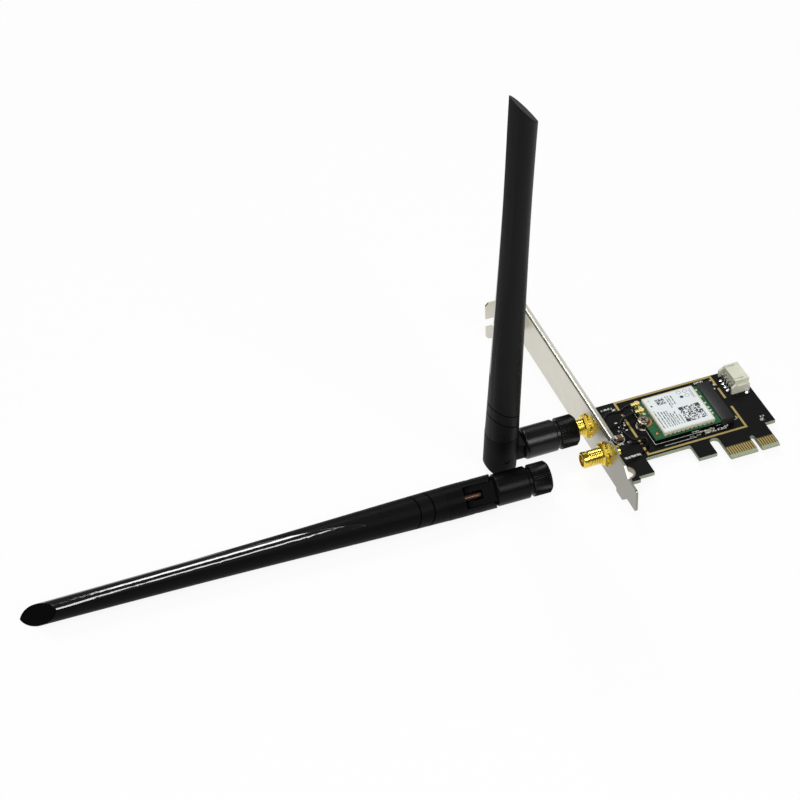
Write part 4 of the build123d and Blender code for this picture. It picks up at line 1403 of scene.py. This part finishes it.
def main() -> None:
    """Load the frame, dress every node, add the pieces and set the studio up."""
    logging.basicConfig(level=logging.INFO, format="%(message)s")
    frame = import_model()
    nodes = frame["nodes"]
    joints = {joint["name"]: joint for joint in frame["joints"]}
    Studio().build()

    # The bracket's nickel carries painted shade towards its low-Y end.
    rubbed, low_end_shade = (1.0, 8.0, 1.0), (44.0, 6.0, 0.43)
    nickel = Plated("bracket_nickel", (0.68, 0.66, 0.57), Sheen.SATIN, rubbed, painted_shade=low_end_shade).make()
    gold = Plated("jack_gold", (0.86, 0.65, 0.11), Sheen.GLOSS).make()
    pad_gold = Plated("pad_gold", (0.58, 0.46, 0.17), Sheen.SATIN).make()
    plug_gold = Plated("plug_gold", (1.0, 0.79, 0.32), Sheen.SOFT).make()
    brass = Plated("turned_brass", (0.7, 0.5, 0.22), Sheen.SATIN).make()
    steel = Plated("screw_steel", (0.36, 0.32, 0.25), Sheen.GLOSS).make()
    dull_tin = Plated("standoff_tin", (0.52, 0.5, 0.46), Sheen.SATIN).make()
    tin = Plated("solder_tin", (0.82, 0.82, 0.8), Sheen.SATIN).make()
    shield = Moulded("shield_tin", (0.58, 0.56, 0.44), Sheen.SATIN, depth=0.004, gloss=0.6).make()
    dark = Moulded("socket_dark", (0.016, 0.016, 0.016), Sheen.SOFT).make()
    chip = Moulded("chip_grey", (0.1, 0.1, 0.1), Sheen.SOFT).make()
    brown = Moulded("capacitor_brown", (0.16, 0.09, 0.035), Sheen.SOFT).make()
    white = Moulded("insulator_white", (0.75, 0.74, 0.68), Sheen.SATIN).make()
    cable = Moulded("cable_black", (0.004, 0.004, 0.004), Sheen.SATIN, gloss=0.2).make()
    jacket = Moulded("coax_brown", (0.13, 0.05, 0.025), Sheen.SATIN, gloss=0.5).make()
    knuckle = Moulded("knuckle_black", (0.0016, 0.0016, 0.0016), Sheen.SOFT, 0.22, 0.03, 0.06).make()
    collar = Moulded("collar_black", (0.002, 0.002, 0.002), Sheen.SATIN, 0.3, 0.01, 0.15).make()
    low, high = corners("module_label")
    label = LabelSheet(low.x, high.y, (high.x - low.x, high.y - low.y)).make()

    dress(nodes, nickel, "bracket")
    dress(nodes, board_print(), "circuit_board")
    dress(nodes, module_print(), "module_board")
    dress(nodes, pad_gold, "edge_contacts", "ground_stripe")
    dress(nodes, plug_gold, "coax_plugs", "coax_receptacles")
    for number in (1, 2):
        dress(nodes, gold, *(f"jack_{number}_{part}" for part in ("body", "nut", "washer", "pin")))
        dress(nodes, white, f"jack_{number}_insulator")
        dress(nodes, cable, f"pigtail_{number}")
    dress(nodes, shield, "module_shield")
    dress(nodes, label, "module_label")
    dress(nodes, steel, "module_screw", "board_screw", "mounting_ring")
    dress(nodes, dull_tin, "module_standoff")
    dress(nodes, tin, "socket_leads", "header_pins", "header_tabs", "chip_ends")
    dress(nodes, dark, "module_socket")
    dress(nodes, header_plastic(), "header_housing")
    dress(nodes, chip, "chip_bodies", "radio_chips")
    dress(nodes, brown, "capacitor_body")

    palette = Palette(knuckle, collar, brass, jacket, white)
    for number in (1, 2):
        antenna = Antenna(number, joints)
        antenna.dress(nodes, palette)
        antenna.collar(collar)
        # Dark sheets of painted shade in the hinge's side gaps.
        antenna.shade_sheets(knuckle)
        antenna.bridge(jacket)
        Jack(number).build(gold)
    Pigtail().build(cable)
    ModuleSocket().build(dark)
    HeaderSolder().build(tin)


if __name__ == "__main__":
    main()
